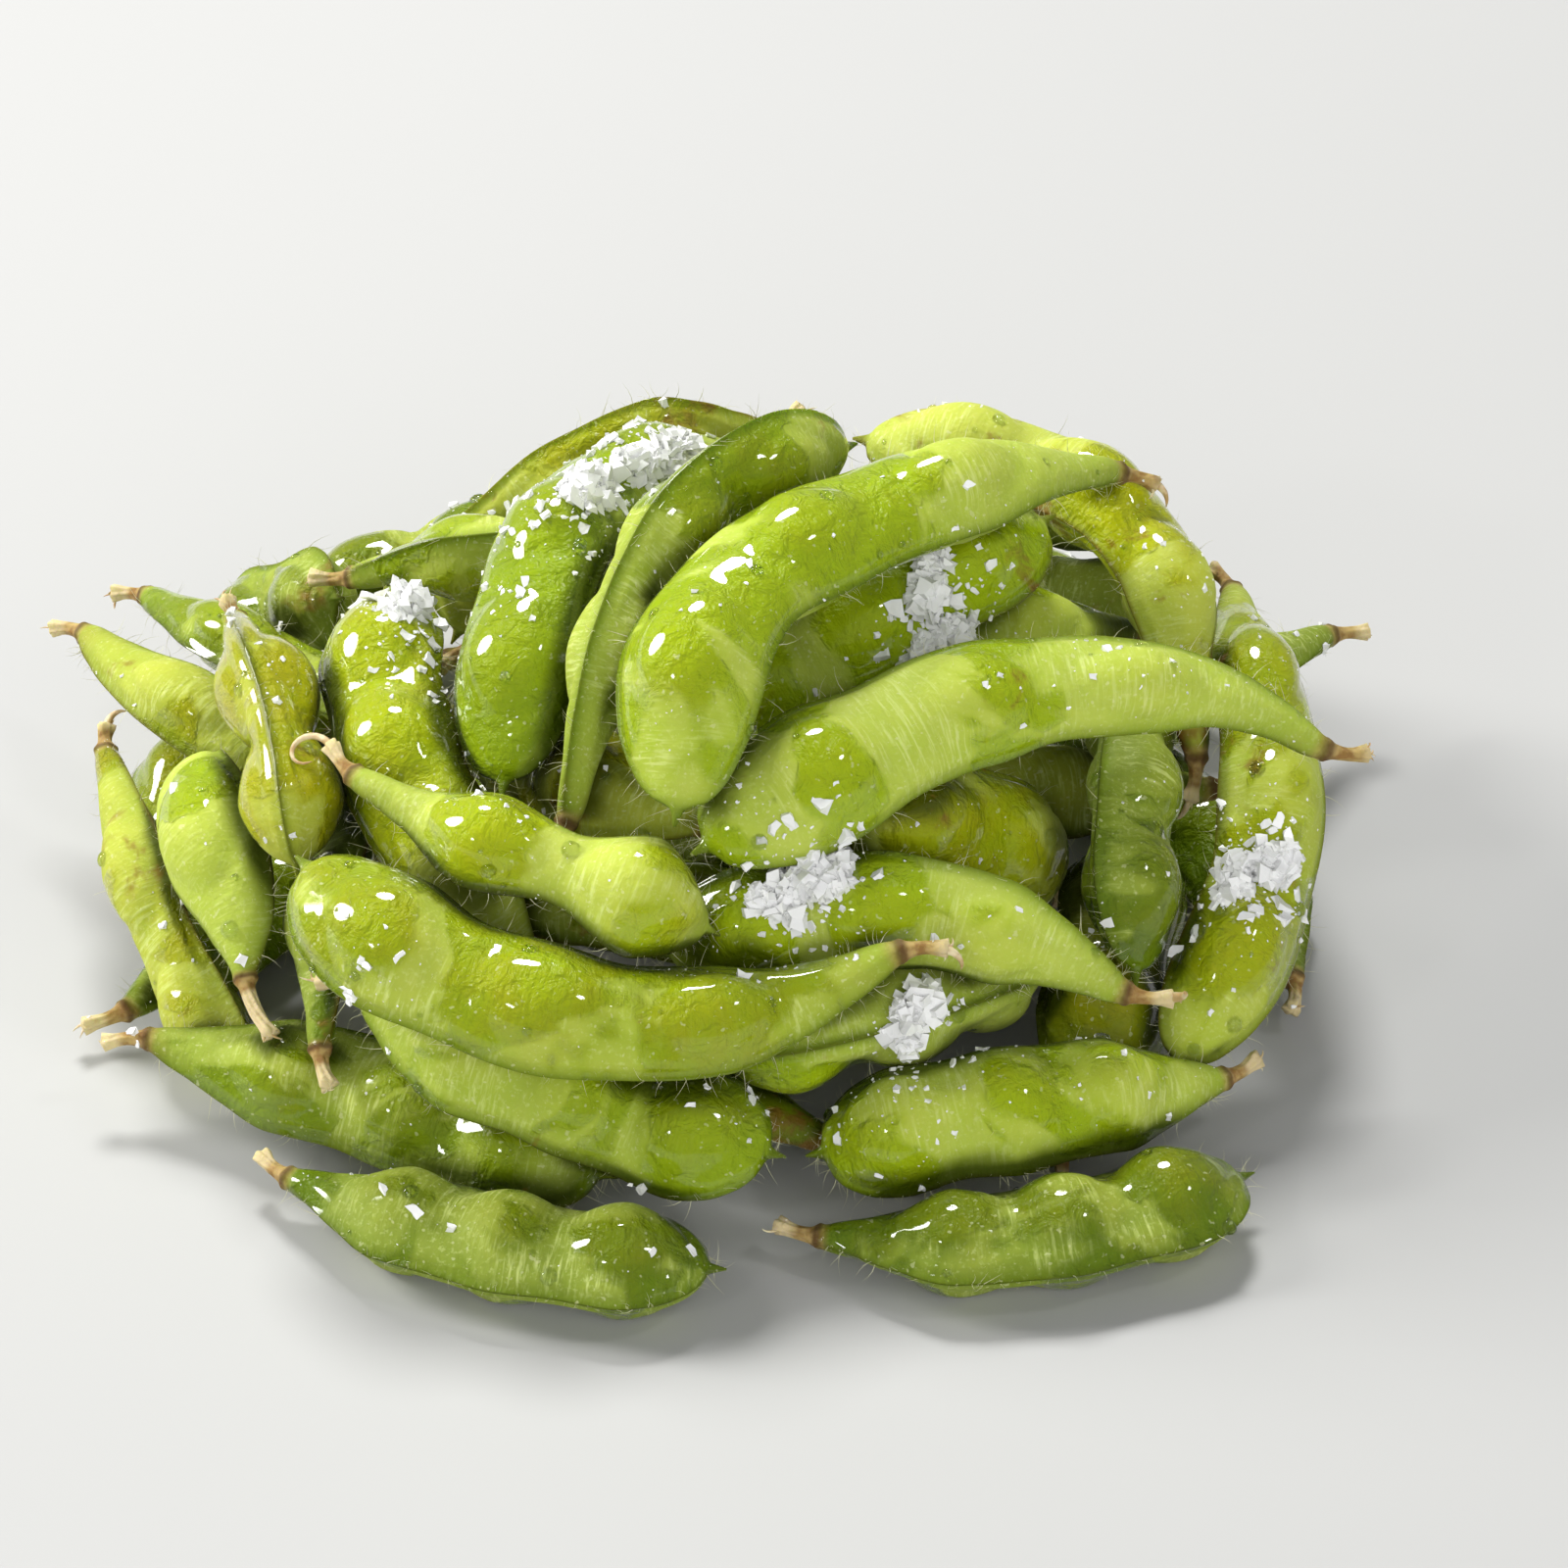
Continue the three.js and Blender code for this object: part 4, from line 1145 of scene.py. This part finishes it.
class EDAMAME_OT_salt(bpy.types.Operator):
    """Crust the salt clumps and scatter loose flakes"""

    bl_idname = "edamame.salt"
    bl_label = "Salt"

    def execute(self, context):
        look = context.scene.edamame_salt
        finish = salt_finish(look)
        loose = Growth("loose salt")
        edge = loose.size("Flake edge", look.flake)
        sparse = loose.size("Sparse flakes per square metre", look.sparse)
        dense = loose.size("Dense flakes per square metre", look.dense)
        seed = loose.size("Seed", look.seed)
        drift = Field(loose.tree, loose.node("ShaderNodeTexNoise", scale=75.0, detail=2.0).outputs[0])
        drifts = loose.node(
            "ShaderNodeMapRange", value=drift, from_min=0.5, from_max=0.7, to_min=0.1, to_max=7.0
        ).outputs[0]
        falling = Field(loose.tree, drifts) * sparse * (1 + loose.attribute("seam") * 2.5)
        density = (falling + loose.attribute("near_salt") ** 2.0 * dense) * loose.attribute("open_to")
        luck = Field(loose.tree, loose.chance(0.0, 1.0, 3))
        small = (luck ** 4.0 * 1.5 + 0.2) * (0.7 + loose.attribute("near_salt") * 0.6)
        flakes = loose.scatter(
            loose.surface, density, seed, flake_shapes(loose, edge), ((-0.6, -0.6, 0.0), (0.6, 0.6, 6.28)),
            uneven(loose, small, 5), True,
        )
        loose.finish(flakes, finish)
        surface = joined(husk_pieces())
        write_exposure(surface)
        own(loose.grow("loose_salt", surface))

        crust = Growth("salt crust")
        edge = crust.size("Flake edge", 0.9 * look.flake)
        density = crust.size("Flakes per square metre", look.crust)
        seed = crust.size("Seed", look.seed)
        size = Field(crust.tree, crust.chance(0.0, 1.0, 4)) ** 2.5 * 2.0 + 0.4
        flakes = crust.scatter(
            crust.surface, density, seed, flake_shapes(crust, edge), ((-1.2, -1.2, 0.0), (1.2, 1.2, 6.28)),
            uneven(crust, size, 6), True,
        )
        both = crust.node("GeometryNodeJoinGeometry")
        crust.tree.links.new(flakes, both.inputs[0])
        crust.tree.links.new(crust.surface, both.inputs[0])
        crust.finish(both.outputs[0], finish)
        for node in salt_nodes():
            piece = crust.grow(node.name + "_crust", node.data.copy())
            own(piece)
            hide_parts(node.name)
        return {"FINISHED"}


class EDAMAME_OT_water(bpy.types.Operator):
    """Set drops of water on the husks"""

    bl_idname = "edamame.water"
    bl_label = "Water drops"

    def execute(self, context):
        look = context.scene.edamame_water
        drops = Growth("water drops")
        radius = drops.size("Drop radius", look.radius)
        density = drops.size("Drops per square metre", look.density)
        seed = drops.size("Seed", look.seed)
        ball = drops.node("GeometryNodeMeshUVSphere", segments=10, rings=6, radius=radius).outputs[0]
        ball = drops.node("GeometryNodeTransform", geometry=ball, scale=(1.0, 1.0, 0.6)).outputs[0]
        ball = drops.node("GeometryNodeSetShadeSmooth", geometry=ball).outputs[0]
        small = Field(drops.tree, drops.chance(0.0, 1.0, 3)) ** 2.2 * 1.1 + 0.3
        balls = drops.scatter(
            drops.surface, drops.attribute("open_to") * density, seed, ball, ((0.0, 0.0, 0.0), (0.0, 0.0, 6.28)), small
        )
        drops.finish(balls, water_finish())
        surface = joined(husk_pieces())
        write_exposure(surface)
        own(drops.grow("water_drops", surface))
        return {"FINISHED"}


def area_light(name, place, aim, size, power, colour, mirrored=True):
    lamp = bpy.data.lights.new(name, "AREA")
    lamp.shape = "ELLIPSE" if mirrored else "RECTANGLE"
    lamp.size, lamp.size_y = size
    lamp.energy = power
    lamp.color = colour
    light = bpy.data.objects.new(name, lamp)
    light.location = place
    light.visible_glossy = mirrored
    light.rotation_euler = (Vector(aim) - Vector(place)).to_track_quat("-Z", "Y").to_euler()
    bpy.context.scene.collection.objects.link(light)


class EDAMAME_OT_stage(bpy.types.Operator):
    """Set the table, the lights and the camera"""

    bl_idname = "edamame.stage"
    bl_label = "Stage"

    def execute(self, context):
        look = context.scene.edamame_stage
        scene = context.scene
        bpy.ops.mesh.primitive_plane_add(size=6)
        table = context.active_object
        table.name = "table"
        table.data.materials.append(table_finish(look.floor))
        heart = (0.0, 0.0, 0.02)
        area_light("window", (-1.0, 0.3, 0.62), heart, (0.4, 0.6), look.key, (1.0, 0.99, 0.96))
        area_light("skylight", (-0.1, 0.75, 1.05), heart, (0.4, 0.32), look.sky, (1.0, 1.0, 0.98))
        area_light("left glint", (-0.75, -0.85, 0.75), heart, (0.16, 0.11), look.glint, (1.0, 1.0, 1.0))
        area_light("right glint", (0.7, -0.15, 0.95), heart, (0.16, 0.11), look.glint, (1.0, 1.0, 1.0))
        area_light("card", (0.25, -1.2, 0.5), heart, (2.4, 1.3), look.fill, (1.0, 1.0, 1.0), False)
        world = bpy.data.worlds.new("studio")
        world.use_nodes = True
        background = world.node_tree.nodes["Background"]
        background.inputs["Color"].default_value = (0.95, 0.97, 1.0, 1.0)
        background.inputs["Strength"].default_value = look.ambient
        scene.world = world
        scene.view_settings.view_transform = "Standard"
        lens = bpy.data.cameras.new("camera")
        lens.lens = look.lens
        lens.sensor_width = 36
        lens.clip_start = 0.01
        camera = bpy.data.objects.new("camera", lens)
        back = Vector((0, -math.cos(look.elevation), math.sin(look.elevation)))
        camera.location = Vector(look.target) + back * look.distance
        camera.rotation_euler = (-back).to_track_quat("-Z", "Y").to_euler()
        scene.collection.objects.link(camera)
        scene.camera = camera
        return {"FINISHED"}


PIECES = (
    EDAMAME_OT_pods,
    EDAMAME_OT_fibres,
    EDAMAME_OT_down,
    EDAMAME_OT_salt,
    EDAMAME_OT_water,
    EDAMAME_OT_stage,
)
SETTINGS = {
    "edamame_pods": EDAMAME_PG_pods,
    "edamame_fibres": EDAMAME_PG_fibres,
    "edamame_down": EDAMAME_PG_down,
    "edamame_salt": EDAMAME_PG_salt,
    "edamame_water": EDAMAME_PG_water,
    "edamame_stage": EDAMAME_PG_stage,
}


class EDAMAME_PT_panel(bpy.types.Panel):
    """Lists the heap's pieces in the order in which they are made"""

    bl_idname = "EDAMAME_PT_panel"
    bl_label = "Edamame heap"
    bl_space_type = "VIEW_3D"
    bl_region_type = "UI"
    bl_category = "Edamame"

    def draw(self, context):
        for piece, name in zip(PIECES, SETTINGS):
            box = self.layout.box()
            box.operator(piece.bl_idname)
            settings = getattr(context.scene, name)
            for key in settings.bl_rna.properties.keys():
                if key not in ("rna_type", "name"):
                    box.prop(settings, key)


def register():
    for name, group in SETTINGS.items():
        bpy.utils.register_class(group)
        setattr(bpy.types.Scene, name, bpy.props.PointerProperty(type=group))
    for item in (*PIECES, EDAMAME_PT_panel):
        bpy.utils.register_class(item)


def unregister():
    for item in (EDAMAME_PT_panel, *reversed(PIECES)):
        bpy.utils.unregister_class(item)
    for name, group in SETTINGS.items():
        delattr(bpy.types.Scene, name)
        bpy.utils.unregister_class(group)


def main():
    register()
    for piece in PIECES:
        family, action = piece.bl_idname.split(".")
        getattr(getattr(bpy.ops, family), action)()
    bpy.context.view_layer.update()


if __name__ == "__main__":
    main()
